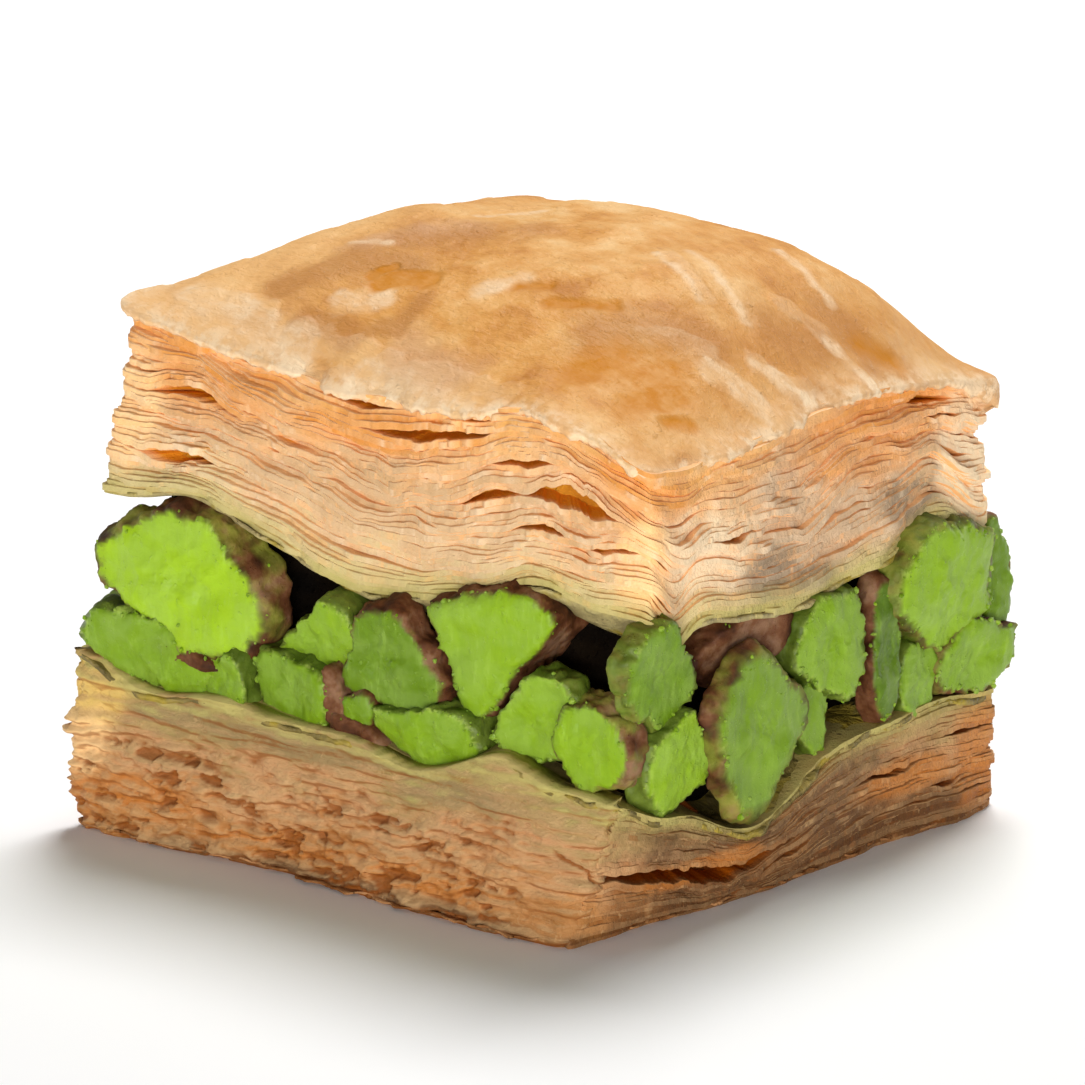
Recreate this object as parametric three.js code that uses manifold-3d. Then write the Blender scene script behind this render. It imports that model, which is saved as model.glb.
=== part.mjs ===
// A square-cut piece of pistachio baklava, about 43 mm across and 39 mm tall.
// Three solids lie one on another: a dense base of thin pastry leaves, a bed of
// coarsely chopped pistachios, and a taller, looser lid of leaves under a domed crust.
// Units are millimetres, +Z is up, and the origin lies on the flat underside.

import * as THREE from "three";
import { mergeVertices } from "three/addons/utils/BufferGeometryUtils.js";
import Module from "manifold-3d";

const wasm = await Module();
wasm.setup();

// ---------- driving dimensions ----------

// The four cut sides run anticlockwise from the near corner, seen from above.
// An edge is a closed line round the piece: its corners are near, right, back and left, as
// [x, y, z]. A swell lifts it by "rise" where the leaves ride over a nut, or pushes it out
// by "push" where the side bulges. Its "along" is measured from the side's first corner.
const SIDE = { right: 0, back: 1, left: 2, front: 3 };

const EDGE = {
  baseFoot: {
    corners: [[17.9, -18.5, 0], [20.9, 21.4, 0], [-17.9, 18.5, 0], [-20.9, -21.4, 0]],
    swells: [
      { side: SIDE.right, along: 4.5, push: 0.5, spread: 3 },
      { side: SIDE.right, along: 17, push: 1.5, spread: 8 },
      { side: SIDE.right, along: 35, push: 1.2, spread: 3.5 },
      { side: SIDE.back, along: 22, push: 0.8, spread: 7 },
      { side: SIDE.left, along: 12, push: 0.9, spread: 6 },
      { side: SIDE.front, along: 15, push: -0.8, spread: 5 },
      { side: SIDE.front, along: 34, push: 0.5, spread: 4 },
    ],
  },
  baseTop: {
    corners: [[20.6, -16.3, 9.3], [21.2, 21.2, 8.0], [-18.4, 18.8, 9.6], [-21.3, -20.2, 11.8]],
    swells: [
      { side: SIDE.right, along: 3.5, rise: -1.4, spread: 2 },
      { side: SIDE.right, along: 12.3, rise: -4.3, spread: 4.6 },
      { side: SIDE.right, along: 31, rise: 0.5, spread: 2.5 },
      { side: SIDE.back, along: 12, rise: -1.2, spread: 4 },
      { side: SIDE.back, along: 27, rise: 0.8, spread: 3 },
      { side: SIDE.left, along: 10, rise: 0.8, spread: 3 },
      { side: SIDE.left, along: 24, rise: -1.3, spread: 4 },
      { side: SIDE.front, along: 6.5, rise: -1.8, spread: 2.8 },
      { side: SIDE.front, along: 17, rise: -0.8, spread: 4 },
      { side: SIDE.front, along: 27.2, rise: -1.4, spread: 2.5 },
      { side: SIDE.front, along: 34, rise: 1.2, spread: 1.8 },
    ],
  },
  lidFoot: {
    corners: [[20.6, -13.1, 20.3], [20.8, 20.7, 18.5], [-20.0, 19.2, 20.5], [-21.1, -18.6, 22]],
    swells: [
      { side: SIDE.right, along: 2, rise: -3.2, spread: 1.3 },
      { side: SIDE.right, along: 6, rise: -0.6, spread: 2.5 },
      { side: SIDE.right, along: 13, rise: -1.7, spread: 4.5 },
      { side: SIDE.right, along: 28.3, rise: 2.3, spread: 2.2 },
      { side: SIDE.right, along: 32.6, rise: -1.3, spread: 1.2 },
      { side: SIDE.back, along: 14, rise: -1.6, spread: 4 },
      { side: SIDE.back, along: 28, rise: 1.2, spread: 3 },
      { side: SIDE.left, along: 11, rise: 1.0, spread: 3 },
      { side: SIDE.left, along: 25, rise: -1.8, spread: 4.5 },
      { side: SIDE.front, along: 7, rise: 1.4, spread: 2.5 },
      { side: SIDE.front, along: 21, rise: -2.6, spread: 5 },
      { side: SIDE.front, along: 29, rise: -0.7, spread: 3 },
      { side: SIDE.front, along: 33.8, rise: 0.8, spread: 1.8 },
    ],
  },
  lidTop: {
    corners: [[20.9, -13.7, 29.8], [19.5, 21.3, 28.5], [-20.2, 19.4, 32.6], [-21.8, -14.8, 33.5]],
    swells: [
      { side: SIDE.right, along: 3.5, rise: -0.5, spread: 1.5 },
      { side: SIDE.right, along: 21, rise: 1.5, spread: 7 },
      { side: SIDE.right, along: 30, rise: 0.4, spread: 2.5 },
      { side: SIDE.back, along: 12, rise: 1.2, spread: 6 },
      { side: SIDE.back, along: 30, rise: -0.6, spread: 4 },
      { side: SIDE.left, along: 14, rise: -0.8, spread: 4 },
      { side: SIDE.left, along: 30, rise: 0.9, spread: 5 },
      { side: SIDE.front, along: 6.5, rise: -0.5, spread: 3 },
      { side: SIDE.front, along: 16.5, rise: -1.1, spread: 5 },
      { side: SIDE.front, along: 34.5, rise: 1.9, spread: 3.5 },
      { side: SIDE.front, along: 39.5, rise: 0.8, spread: 2 },
    ],
  },
};

const STATIONS_PER_SIDE = 22;

// Each pastry body is drawn as a few thick leaves, whose edges stand out as ledges.
// A gap is a place where two leaves have come apart: "level" is its share of the height.
const LEDGE_UNEVENNESS = 0.8;

const BASE = {
  foot: EDGE.baseFoot,
  top: EDGE.baseTop,
  leaves: 5,
  ledge: 0.22,
  footRings: 1,
  topRings: 3,
  gaps: [
    { side: SIDE.right, along: 8, level: 0.55, length: 12, depth: 1.5 },
    { side: SIDE.right, along: 27, level: 0.55, length: 8, depth: 0.8 },
    { side: SIDE.back, along: 22, level: 0.4, length: 9, depth: 1.0 },
    { side: SIDE.left, along: 30, level: 0.6, length: 8, depth: 1.0 },
    { side: SIDE.front, along: 4.5, level: 0.4, length: 4, depth: 0.9 },
  ],
};

const LID = {
  foot: EDGE.lidFoot,
  top: EDGE.lidTop,
  leaves: 9,
  ledge: 0.3,
  footRings: 3,
  topRings: 9,
  gaps: [
    { side: SIDE.right, along: 26, level: 0.8, length: 9, depth: 1.0 },
    { side: SIDE.right, along: 8, level: 0.5, length: 6, depth: 0.7 },
    { side: SIDE.back, along: 12, level: 0.6, length: 10, depth: 1.3 },
    { side: SIDE.back, along: 29, level: 0.3, length: 8, depth: 1.0 },
    { side: SIDE.left, along: 10, level: 0.3, length: 8, depth: 1.2 },
    { side: SIDE.left, along: 26, level: 0.75, length: 10, depth: 1.3 },
    { side: SIDE.front, along: 6.5, level: 0.59, length: 5, depth: 1.2 },
    { side: SIDE.front, along: 23, level: 0.82, length: 7, depth: 1.2 },
    { side: SIDE.front, along: 37, level: 0.53, length: 9, depth: 1.8 },
  ],
};

// The crust rises in a dome over its edge. The peak lies off centre, as shares of the half
// width, and "fullness" is how long the dome stays high before it falls to the edge.
const DOME = { rise: 7.0, peakU: -0.2, peakV: 0.2, fullness: 2.8 };

// Broad bumps and hollows of the baked crust.
const CRUST_SWELLS = [
  { x: 12, y: -7, rise: -0.6, spread: 3.6 },
  { x: 15, y: 17, rise: 1.5, spread: 4.2 },
  { x: -12, y: -6, rise: -0.4, spread: 3 },
  { x: -2, y: 9, rise: 0.3, spread: 4 },
  { x: -6, y: -12, rise: 0.4, spread: 4 },
  { x: -13, y: 2, rise: 0.6, spread: 4 },
];

// The nuts lie between the leaves with a fine clearance, so that no two solids touch.
const NUT_CLEARANCE = 0.3;
const NUT_CORE = { inset: 4.8, perSide: 5, low: 3, high: 25 };
const NUT_REACH = 8.5; // how far a nut reaches in from the cut side
const NUT_SLICE = 1.2; // how much the knife takes off its end
const LARGE_NUT = 75; // square millimetres seen: a larger one is drawn with more facets
const FACET_LOSS = { large: 1.05, small: 1.14 }; // widens a faceted nut to its true size
const NUT_TOLERANCE = 0.1; // faces of the cut heap that are flatter than this are merged

// Pieces that show in the front and right cuts: "along" from the side's first corner,
// "up" from the table, "wide" and "tall" as seen, "turn" in degrees about the outward
// direction, and "proud" as how far the cut face stands out of the side.
const FRONT_NUTS = [
  { along: 6.4, up: 17.7, wide: 13.4, tall: 10.6, turn: -12, proud: 0.9 },
  { along: 4.6, up: 12.3, wide: 12.0, tall: 6.4, turn: -22, proud: 0.8 },
  { along: 11.2, up: 11.3, wide: 5.0, tall: 4.6, turn: 30, proud: 0.4 },
  { along: 17.9, up: 15.5, wide: 7.2, tall: 5.0, turn: 25, proud: -0.4 },
  { along: 16.5, up: 11.9, wide: 7.2, tall: 5.4, turn: -25, proud: 0.2 },
  { along: 23.9, up: 15.0, wide: 8.2, tall: 7.4, turn: -35, proud: 0.3 },
  { along: 27.2, up: 10.6, wide: 7.6, tall: 4.6, turn: -8, proud: 0.7 },
  { along: 31.4, up: 16.4, wide: 10.4, tall: 7.8, turn: 20, proud: 0.0 },
  { along: 35.2, up: 13.4, wide: 7.4, tall: 6.0, turn: 40, proud: 0.4 },
  { along: 39.4, up: 12.2, wide: 7.0, tall: 6.6, turn: 60, proud: 0.9 },
];
const RIGHT_NUTS = [
  { along: 2.2, up: 16.8, wide: 6.8, tall: 7.6, turn: -35, proud: 0.4 },
  { along: 4.2, up: 11.2, wide: 6.0, tall: 6.2, turn: 30, proud: 0.6 },
  { along: 12.1, up: 10.9, wide: 9.6, tall: 12.4, turn: 12, proud: 1.4 },
  { along: 12.4, up: 16.6, wide: 9.4, tall: 5.2, turn: 5, proud: -1.6 },
  { along: 18.7, up: 14.8, wide: 6.7, tall: 7.4, turn: -10, proud: 0.5 },
  { along: 17.9, up: 10.6, wide: 4.2, tall: 5.2, turn: 15, proud: -0.4 },
  { along: 24.0, up: 13.2, wide: 5.0, tall: 9.0, turn: 0, proud: 0.4 },
  { along: 29.9, up: 15.9, wide: 9.2, tall: 7.6, turn: -20, proud: 0.8 },
  { along: 28.2, up: 11.0, wide: 4.4, tall: 5.0, turn: -5, proud: 0.2 },
  { along: 33.2, up: 11.0, wide: 7.6, tall: 5.4, turn: 12, proud: 0.5 },
  { along: 36.0, up: 15.4, wide: 3.6, tall: 7.2, turn: 8, proud: -0.2 },
];
// The back and left cuts are packed by rule, in two rows.
const NUT_ROWS = [
  { up: 11.6, pitch: 6.2 },
  { up: 16.4, pitch: 6.8 },
];
const NUT_SIZE_RANGE = { wide: [5.5, 9.0], tall: [5.2, 7.4] };

const COLOUR = { base: 0xb98a58, lid: 0xe2b47a, nuts: 0x7fae2a };

// ---------- small helpers ----------

// A repeatable source of numbers from 0 to 1.
function seededRandom(seed) {
  let state = seed;
  return () => {
    state = (state * 1664525 + 1013904223) % 4294967296;
    return state / 4294967296;
  };
}

const between = ([low, high], share) => low + (high - low) * share;

const bell = (distance, spread) => Math.exp(-0.5 * (distance / spread) ** 2);

// A smooth unevenness from -1 to 1 along a side, different for every leaf.
function ripple(position, leaf) {
  const broad = Math.sin(position * 0.55 + leaf * 2.4);
  const fine = Math.sin(position * 1.7 + leaf * 5.1);
  return 0.65 * broad + 0.35 * fine;
}

// ---------- edges and rings ----------

// One side of an edge as a straight line, with its direction out of the piece.
function sideOf(edge, side) {
  const from = new THREE.Vector3(...edge.corners[side % 4]);
  const to = new THREE.Vector3(...edge.corners[(side + 1) % 4]);
  const out = new THREE.Vector3(to.y - from.y, from.x - to.x, 0).normalize();
  return { from, to, out, length: from.distanceTo(to) };
}

// A point of an edge: share runs from 0 to 1 along the side.
function edgePoint(edge, side, share) {
  const { from, to, out, length } = sideOf(edge, side);
  const fadeAtCorners = Math.sin(Math.PI * share) ** 0.3;
  const point = from.lerp(to, share);
  for (const { side: swollen, along, rise = 0, push = 0, spread } of edge.swells) {
    if (swollen === side) {
      const strength = bell(share * length - along, spread) * fadeAtCorners;
      point.addScaledVector(out, push * strength);
      point.z += rise * strength;
    }
  }
  return point;
}

// Stations round the piece, each as its side and its share along that side.
function stationsRound(perSide) {
  const along = Array.from({ length: perSide }, (_, i) => i / perSide);
  return Object.values(SIDE).flatMap((side) => along.map((share) => ({ side, share })));
}

const STATIONS = stationsRound(STATIONS_PER_SIDE);

// Outward direction at a station. At a corner it is the mean of the two sides' directions.
function outward(edge, { side, share }) {
  const { out } = sideOf(edge, side);
  return share === 0 ? out.add(sideOf(edge, side + 3).out).normalize() : out;
}

// How far two leaves have drawn apart and back at a station and a level.
function gapDepth(body, { side, share }, level) {
  const { length } = sideOf(body.foot, side);
  let depth = 0;
  for (const gap of body.gaps) {
    if (gap.side === side) {
      const endFade = bell(share * length - gap.along, gap.length / 3);
      const nearness = bell((level - gap.level) * body.leaves, 0.45);
      depth += gap.depth * endFade * nearness;
    }
  }
  return depth;
}

// One ring of the cut side. Even rings lie in the groove between two leaves, odd rings on
// the ledge of a leaf's edge.
function sideRing(body, index) {
  const rings = 2 * body.leaves;
  const level = index / rings;
  const onLedge = index % 2 === 1;
  return STATIONS.map((station, i) => {
    const low = edgePoint(body.foot, station.side, station.share);
    const high = edgePoint(body.top, station.side, station.share);
    const point = low.lerp(high, level);
    const ledge = body.ledge * (1 + LEDGE_UNEVENNESS * ripple(i, index));
    const offset = onLedge ? ledge : -ledge - gapDepth(body, station, level);
    const isOuterEdge = index === 0 || index === rings;
    return point.addScaledVector(outward(body.foot, station), isOuterEdge ? 0 : offset);
  });
}

// A point of the smooth sheet that spans the four sides of an edge. u and v run from -1 to
// 1, with the right side at u = 1 and the back at v = 1.
function sheetPoint(edge, u, v) {
  const s = (u + 1) / 2;
  const t = (v + 1) / 2;
  const point = new THREE.Vector3();
  point.addScaledVector(edgePoint(edge, SIDE.right, t), s);
  point.addScaledVector(edgePoint(edge, SIDE.left, 1 - t), 1 - s);
  point.addScaledVector(edgePoint(edge, SIDE.back, 1 - s), t);
  point.addScaledVector(edgePoint(edge, SIDE.front, s), 1 - t);
  const shares = [s * (1 - t), s * t, (1 - s) * t, (1 - s) * (1 - t)];
  edge.corners.forEach((corner, i) => {
    point.addScaledVector(new THREE.Vector3(...corner), -shares[i]);
  });
  return point;
}

// The place of a station on the rim of a sheet, as u and v.
function rimPlace({ side, share }) {
  const across = 2 * share - 1;
  const places = [[1, across], [-across, 1], [-1, -across], [across, -1]];
  return places[side];
}

const flat = () => 0;

// Rings that close a body over its top or foot, from the outermost inwards.
function capRings(edge, count, rise = flat) {
  return Array.from({ length: count }, (_, i) => {
    const reach = 1 - (i + 1) / (count + 1);
    return STATIONS.map((station) => {
      const [u, v] = rimPlace(station).map((value) => value * reach);
      const point = sheetPoint(edge, u, v);
      return point.setZ(point.z + rise(u, v, point));
    });
  });
}

// A closed body through a list of rings, from the lowest to the highest, with a point at
// each end.
function bodyThroughRings(rings, lowestPoint, highestPoint) {
  const count = rings[0].length;
  const points = [...rings.flat(), lowestPoint, highestPoint];
  const lowest = points.length - 2;
  const highest = points.length - 1;
  const faces = [];
  for (let j = 0; j < count; j++) {
    const next = (j + 1) % count;
    for (let r = 0; r < rings.length - 1; r++) {
      const [a, b] = [r * count + j, r * count + next];
      faces.push(a, b, b + count, a, b + count, a + count);
    }
    faces.push(lowest, next, j);
    const last = (rings.length - 1) * count;
    faces.push(highest, last + j, last + next);
  }
  const geometry = new THREE.BufferGeometry().setFromPoints(points);
  return geometry.setIndex(faces);
}

// ---------- the pastry ----------

// How far the crust stands over the sheet that spans its edge.
function crustRise(u, v, { x, y }) {
  const away = (value, peak) => Math.abs((value - peak) / (value < peak ? 1 + peak : 1 - peak));
  const fall = (distance) => 1 - distance ** DOME.fullness;
  const [awayU, awayV] = [away(u, DOME.peakU), away(v, DOME.peakV)];
  let rise = DOME.rise * fall(awayU) * fall(awayV);
  const fadeAtRim = 1 - Math.max(Math.abs(u), Math.abs(v)) ** 8;
  for (const swell of CRUST_SWELLS) {
    rise += swell.rise * bell(Math.hypot(x - swell.x, y - swell.y), swell.spread) * fadeAtRim;
  }
  return rise;
}

function pastryGeometry(body, rise = flat) {
  const sides = Array.from({ length: 2 * body.leaves + 1 }, (_, i) => sideRing(body, i));
  const foot = capRings(body.foot, body.footRings).reverse();
  const top = capRings(body.top, body.topRings, rise);
  const lowest = sheetPoint(body.foot, 0, 0);
  const highest = sheetPoint(body.top, 0, 0);
  highest.z += rise(0, 0, highest);
  return bodyThroughRings([...foot, ...sides, ...top], lowest, highest);
}

// A plain block as large as a pastry body with the nuts' clearance all round. The nuts are
// cut by it.
function clearanceBlock(body) {
  const spread = body.ledge * (1 + LEDGE_UNEVENNESS) + NUT_CLEARANCE;
  const widened = (edge, lift) =>
    STATIONS.map((station) => {
      const point = edgePoint(edge, station.side, station.share);
      point.addScaledVector(outward(edge, station), spread);
      return point.setZ(point.z + lift);
    });
  const lowest = sheetPoint(body.foot, 0, 0);
  const highest = sheetPoint(body.top, 0, 0);
  return bodyThroughRings(
    [
      ...capRings(body.foot, body.footRings, () => -NUT_CLEARANCE).reverse(),
      widened(body.foot, -NUT_CLEARANCE),
      widened(body.top, NUT_CLEARANCE),
      ...capRings(body.top, body.topRings, () => NUT_CLEARANCE),
    ],
    lowest.setZ(lowest.z - NUT_CLEARANCE),
    highest.setZ(highest.z + NUT_CLEARANCE),
  );
}

// ---------- the nuts ----------

// A closed geometry as a solid that can be joined and cut.
function toSolid(geometry) {
  const plain = geometry.clone();
  plain.deleteAttribute("normal");
  plain.deleteAttribute("uv");
  const merged = mergeVertices(plain, 1e-4);
  return new wasm.Manifold(
    new wasm.Mesh({
      numProp: 3,
      vertProperties: merged.attributes.position.array,
      triVerts: new Uint32Array(merged.index.array),
    }),
  );
}

function toGeometry(solid) {
  const { vertProperties, triVerts } = solid.getMesh();
  const geometry = new THREE.BufferGeometry();
  geometry.setAttribute("position", new THREE.BufferAttribute(vertProperties, 3));
  return geometry.setIndex(new THREE.BufferAttribute(triVerts, 1));
}

// A side of the nut bed, half way up it: its first corner, along it and out of it.
function nutSide(side) {
  const halfWay = (corner) => {
    const low = sideOf(EDGE.baseTop, corner).from;
    return low.lerp(sideOf(EDGE.lidFoot, corner).from, 0.5).setZ(0);
  };
  const start = halfWay(side);
  const run = halfWay(side + 1).sub(start);
  const along = run.clone().normalize();
  return { start, along, length: run.length(), out: new THREE.Vector3(along.y, -along.x, 0) };
}

// One chopped nut: a faceted kernel, longest across the cut, with its outer end sliced off
// by the knife and one more face where it broke.
function nutSolid(side, nut, random) {
  const frame = nutSide(side);
  const isLarge = nut.wide * nut.tall > LARGE_NUT;
  const radius = 0.5 * (isLarge ? FACET_LOSS.large : FACET_LOSS.small);
  const kernel = new THREE.IcosahedronGeometry(radius, isLarge ? 1 : 0);
  kernel.scale(NUT_REACH, nut.wide, nut.tall);
  kernel.rotateX(THREE.MathUtils.degToRad(nut.turn));
  const axes = new THREE.Matrix4().makeBasis(frame.out, frame.along, new THREE.Vector3(0, 0, 1));
  const centre = frame.start
    .clone()
    .addScaledVector(frame.along, nut.along)
    .addScaledVector(frame.out, nut.proud + NUT_SLICE - NUT_REACH / 2)
    .setZ(nut.up);
  kernel.applyMatrix4(axes.setPosition(centre));
  let solid = toSolid(kernel);

  const slice = (direction, distance) => {
    const inward = direction.clone().normalize().negate();
    solid = solid.trimByPlane(inward.toArray(), inward.dot(centre) - distance);
  };
  const lean = () => 0.5 * (random() - 0.5);
  const up = new THREE.Vector3(0, 0, 1);
  const knife = frame.out.clone().addScaledVector(frame.along, lean()).addScaledVector(up, lean());
  slice(knife, NUT_REACH / 2 - NUT_SLICE);
  const spin = random() * 2 * Math.PI;
  const breakage = frame.along
    .clone()
    .multiplyScalar(Math.cos(spin))
    .addScaledVector(up, Math.sin(spin))
    .addScaledVector(frame.out, 0.4);
  slice(breakage, Math.min(nut.wide, nut.tall) * 0.38);
  return solid;
}

// The rows of nuts along a side that is packed by rule.
function rowNuts(side, random) {
  const { length } = nutSide(side);
  return NUT_ROWS.flatMap(({ up, pitch }) => {
    const count = Math.floor(length / pitch);
    return Array.from({ length: count }, (_, i) => ({
      along: ((i + 0.5 + 0.35 * (random() - 0.5)) * length) / count,
      up: up + 1.4 * (random() - 0.5),
      wide: between(NUT_SIZE_RANGE.wide, random()),
      tall: between(NUT_SIZE_RANGE.tall, random()),
      turn: 90 * (random() - 0.5),
      proud: between([-0.6, 0.9], random()),
    }));
  });
}

// The packed middle that the nuts are fused to, inset from every side. The points that
// close it lie off centre, so that they fall on no line of the blocks that cut it.
function nutCore() {
  const inset = (edge, z) =>
    stationsRound(NUT_CORE.perSide).map((station) => {
      const point = edgePoint(edge, station.side, station.share).setZ(z);
      return point.addScaledVector(outward(edge, station), -NUT_CORE.inset);
    });
  const { low, high } = NUT_CORE;
  const rings = [inset(EDGE.baseTop, low), inset(EDGE.lidFoot, high)];
  return bodyThroughRings(rings, new THREE.Vector3(1, 1, low), new THREE.Vector3(1, 1, high));
}

function nutBedGeometry() {
  const random = seededRandom(11);
  const nuts = [
    ...FRONT_NUTS.map((nut) => nutSolid(SIDE.front, nut, random)),
    ...RIGHT_NUTS.map((nut) => nutSolid(SIDE.right, nut, random)),
    ...rowNuts(SIDE.back, random).map((nut) => nutSolid(SIDE.back, nut, random)),
    ...rowNuts(SIDE.left, random).map((nut) => nutSolid(SIDE.left, nut, random)),
  ];
  const heap = nuts.reduce((joined, nut) => joined.add(nut), toSolid(nutCore()));
  const overBase = toSolid(clearanceBlock(BASE));
  const underLid = toSolid(clearanceBlock(LID));
  const cut = heap.subtract(overBase).subtract(underLid).simplify(NUT_TOLERANCE);
  // A scrap that the cuts leave loose is dropped.
  const largestFirst = cut.decompose().sort((a, b) => b.volume() - a.volume());
  return toGeometry(largestFirst[0]);
}

// ---------- the piece ----------

function namedMesh(name, geometry, color, roughness) {
  const material = new THREE.MeshStandardMaterial({ color, roughness, metalness: 0 });
  const mesh = new THREE.Mesh(geometry, material);
  mesh.name = name;
  return mesh;
}

const piece = new THREE.Group();
piece.add(
  namedMesh("base_pastry", pastryGeometry(BASE), COLOUR.base, 0.6),
  namedMesh("pistachio_bed", nutBedGeometry(), COLOUR.nuts, 0.55),
  namedMesh("lid_pastry", pastryGeometry(LID, crustRise), COLOUR.lid, 0.45),
);

export default piece;
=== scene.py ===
"""Baklava piece: two stacks of filo leaves with broken pistachio kernels between them, on a studio floor."""

import math

import bmesh
import bpy
import numpy as np
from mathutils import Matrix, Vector


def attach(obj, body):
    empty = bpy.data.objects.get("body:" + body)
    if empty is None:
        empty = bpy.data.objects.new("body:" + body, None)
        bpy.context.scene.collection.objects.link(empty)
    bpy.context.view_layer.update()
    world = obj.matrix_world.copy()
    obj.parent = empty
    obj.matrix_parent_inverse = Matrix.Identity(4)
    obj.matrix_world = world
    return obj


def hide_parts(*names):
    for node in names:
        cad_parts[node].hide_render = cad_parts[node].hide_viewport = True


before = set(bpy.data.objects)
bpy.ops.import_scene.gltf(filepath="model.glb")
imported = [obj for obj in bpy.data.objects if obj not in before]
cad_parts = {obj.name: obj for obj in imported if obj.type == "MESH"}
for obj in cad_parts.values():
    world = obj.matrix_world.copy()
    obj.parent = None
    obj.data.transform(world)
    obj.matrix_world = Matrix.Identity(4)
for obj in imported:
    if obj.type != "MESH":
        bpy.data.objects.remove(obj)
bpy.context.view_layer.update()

bl_info = {
    "name": "Pistachio baklava piece",
    "version": (1, 0, 0),
    "blender": (4, 5, 0),
    "location": "3D View > Sidebar > Baklava",
    "description": "Builds a cut piece of pistachio baklava over its packed frame",
    "category": "Object",
}

MM = 0.001

# Corners run near, right, back, left; side i runs from corner i to the next one.
SIDES = ("right", "back", "left", "front")

# Each swell moves an edge out by push and up by rise, both fading over spread.
BASE_FOOT = {
    "corners": [(17.9, -18.5, 0), (20.9, 21.4, 0), (-17.9, 18.5, 0), (-21.2, -21.8, 0)],
    "swells": {
        "right": [(4.5, 0.5, 0, 3), (17, 1.5, 0, 8), (35, 1.2, 0, 3.5)],
        "back": [(22, 0.8, 0, 7)],
        "left": [(12, 0.9, 0, 6)],
        "front": [(15, -0.8, 0, 5), (34, 0.5, 0, 4)],
    },
}
BASE_TOP = {
    "corners": [(20.6, -16.3, 9.3), (21.2, 21.2, 8), (-18.4, 18.8, 9.6), (-21.9, -20.9, 11.8)],
    "swells": {
        "right": [(3.5, 0, -1.4, 2), (12.3, 0, -4.3, 4.6), (31, 0, 0.5, 2.5)],
        "back": [(12, 0, -1.2, 4), (27, 0, 0.8, 3)],
        "left": [(10, 0, 0.8, 3), (24, 0, -1.3, 4)],
        "front": [(6.5, 0, -1.8, 2.8), (17, 0, -0.8, 4), (27.2, 0, -1.4, 2.5), (34, 0, 1.2, 1.8)],
    },
}
LID_FOOT = {
    "corners": [(20.6, -13.1, 20.3), (20.8, 20.7, 18.5), (-20, 19.2, 20.5), (-21.1, -18.6, 22)],
    "swells": {
        "right": [
            (2, 0, -3.2, 1.3), (6, 0, -0.6, 2.5), (13, 0, -1.7, 4.5), (28.3, 0, 2.3, 2.2),
            (32.6, 0, -1.3, 1.2),
        ],
        "back": [(14, 0, -1.6, 4), (28, 0, 1.2, 3)],
        "left": [(11, 0, 1, 3), (25, 0, -1.8, 4.5)],
        "front": [(7, 0, 1.4, 2.5), (21, 0, -2.6, 5), (29, 0, -0.7, 3), (33.8, 0, 0.8, 1.8)],
    },
}
LID_TOP = {
    "corners": [(20.9, -13.7, 29.8), (19.5, 21.3, 28.5), (-20.2, 19.4, 32.6), (-21.8, -14.8, 33.5)],
    "swells": {
        "right": [(3.5, 0, -0.5, 1.5), (21, 0, 1.5, 7), (30, 0, 0.4, 2.5)],
        "back": [(12, 0, 1.2, 6), (30, 0, -0.6, 4)],
        "left": [(14, 0, -0.8, 4), (30, 0, 0.9, 5)],
        "front": [(6.5, 0, -0.5, 3), (16.5, 0, -1.1, 5), (34.5, 0, 1.9, 3.5), (39.5, 0, 0.8, 2)],
    },
}
CRUST_HEIGHT = 7.0
CRUST_PEAK = (-0.2, 0.2)
# Place, height and spread of the soft blisters in the crust.
CRUST_SWELLS = [
    (12, -7, -0.6, 3.6), (15, 17, 1.5, 4.2), (-12, -6, -0.4, 3.0),
    (-2, 9, 0.3, 4.0), (-6, -12, 0.4, 4.0), (-13, 2, 0.6, 4.0),
]

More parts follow.
